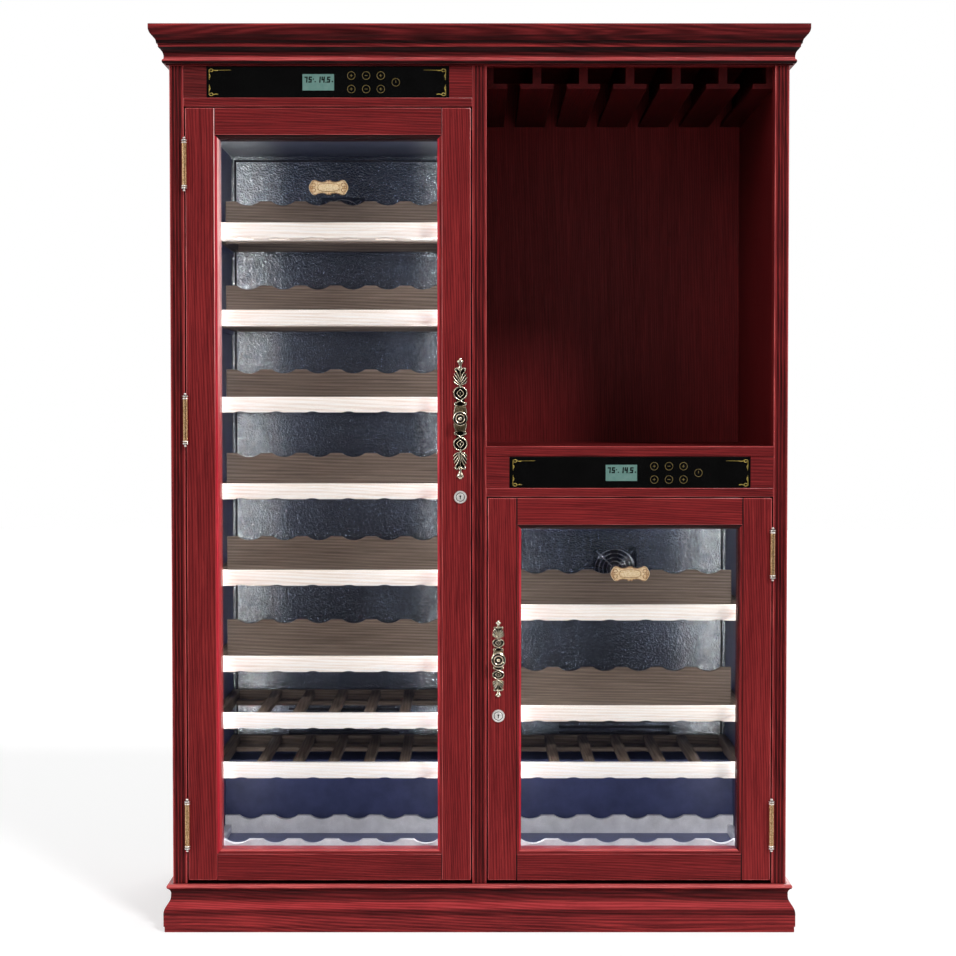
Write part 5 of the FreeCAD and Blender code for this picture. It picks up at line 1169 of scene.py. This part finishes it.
floor_mesh = bpy.data.meshes.new("studio_floor")
reach = 14
floor_mesh.from_pydata([(-reach, -reach, 0), (reach, -reach, 0), (reach, reach, 0), (-reach, reach, 0)], [],
                       [(0, 1, 2, 3)])
floor = bpy.data.objects.new("studio_floor", floor_mesh)
bpy.context.scene.collection.objects.link(floor)
pale = Finish("pale_floor", roughness=0.8, specular_ior_level=0.1)
rays = pale.node("LightPath")
tint = pale.ramp(pale.noise(pale.place, 3, 2), (0.3, rgb("efefef")), (0.7, rgb("f4f4f4")))
mirrored = pale.math("MAXIMUM", rays.outputs["Is Glossy Ray"], rays.outputs["Is Transmission Ray"])
depth = pale.node("SeparateXYZ", {0: pale.place}).outputs["Y"]
nearby = pale.level(depth, -1.6, -0.6)
seen = pale.math("MAXIMUM", rays.outputs["Is Camera Ray"], pale.math("MULTIPLY", mirrored, nearby))
ahead = pale.math("MULTIPLY", mirrored, pale.math("SUBTRACT", 1.0, nearby))
pale.set("Base Color", pale.mix(ahead, pale.mix(seen, tint, rgb("c0c0c0")), rgb("141414")))
pale.set("Emission Color", rgb("ffffff"))
pale.set("Emission Strength", pale.math("MULTIPLY", seen, 0.6))
floor_mesh.materials.append(pale.material)

# The world is white to the camera, and a room that is darker behind the camera to metal and glass
AMBIENT = 0.35
world = bpy.data.worlds.new("studio")
bpy.context.scene.world = world
world.use_nodes = True
tree = world.node_tree
background = tree.nodes["Background"]
background.inputs["Color"].default_value = (1, 1, 1, 1)


def world_node(kind, inputs, **settings):
    node = tree.nodes.new("ShaderNode" + kind)
    for key, value in settings.items():
        setattr(node, key, value)
    for key, value in inputs.items():
        if isinstance(value, bpy.types.NodeSocket):
            tree.links.new(value, node.inputs[key])
        else:
            node.inputs[key].default_value = value
    return node


rays = world_node("LightPath", {})
heading = world_node("SeparateXYZ", {0: world_node("TexCoord", {}).outputs["Generated"]})
room = world_node("MapRange", {"Value": heading.outputs["Y"], "From Min": -0.9, "From Max": 0.0, "To Min": 0.06,
                               "To Max": 1.0})
mirrored = world_node("Math", {0: rays.outputs["Is Glossy Ray"], 1: rays.outputs["Is Transmission Ray"]},
                      operation="MAXIMUM")
around = world_node("Mix", {0: mirrored.outputs[0], 2: AMBIENT, 3: room.outputs["Result"]}, data_type="FLOAT")
strength = world_node("Mix", {0: rays.outputs["Is Camera Ray"], 2: around.outputs[0], 3: 1.0}, data_type="FLOAT")
tree.links.new(strength.outputs[0], background.inputs["Strength"])


def distant_light(name, heading, level, softness):
    """A soft light from far away; a surface that faces it is lit at the level."""
    data = bpy.data.lights.new(name, "SUN")
    data.energy = level * math.pi
    data.angle = math.radians(softness)
    lamp = bpy.data.objects.new(name, data)
    bpy.context.scene.collection.objects.link(lamp)
    lamp.location = Vector(heading) * 3
    lamp.rotation_mode = "QUATERNION"
    lamp.rotation_quaternion = (-Vector(heading)).to_track_quat("-Z", "Y")


def strip_light(name, place, target, width, height, power):
    """A strip inside a cooler."""
    data = bpy.data.lights.new(name, "AREA")
    data.shape = "RECTANGLE"
    data.size = width
    data.size_y = height
    data.energy = power
    lamp = bpy.data.objects.new(name, data)
    bpy.context.scene.collection.objects.link(lamp)
    lamp.location = place
    lamp.rotation_mode = "QUATERNION"
    lamp.rotation_quaternion = (Vector(target) - Vector(place)).to_track_quat("-Z", "Y")
    lamp.visible_camera = False
    return lamp


STRIP_Y = -0.2425
distant_light("key_light", (0.44, -0.63, 0.64), 0.6, 12)
distant_light("fill_light", (-0.66, -0.66, 0.34), 0.28, 30)
distant_light("back_light", (0.35, 0.8, 0.5), 0.35, 30)
for side in SIDES:
    middle = (CAVITY_FLOOR + CAVITY_TOP[side]) / 2 * MM
    tall = (CAVITY_TOP[side] - CAVITY_FLOOR - 60) * MM
    for near, hand in ((CAVITY_INNER + 12, 1), (CAVITY_OUTER - 12, -1)):
        x = near * SIDES[side] * MM
        strip_light(f"cavity_light_{side}_{near:.0f}", (x, STRIP_Y, middle),
                    (x + hand * SIDES[side], STRIP_Y + 1, middle), 0.003, tall, 1.8 * tall)

camera_data = bpy.data.cameras.new("camera")
camera_data.lens = 75.30
camera_data.sensor_width = 36
camera = bpy.data.objects.new("camera", camera_data)
bpy.context.scene.collection.objects.link(camera)
camera.location = (-0.0029, -4.502, 1.09685)
camera.rotation_euler = (math.radians(90 - 1.8905), 0, 0)
bpy.context.scene.camera = camera
bpy.context.scene.view_settings.view_transform = "Standard"
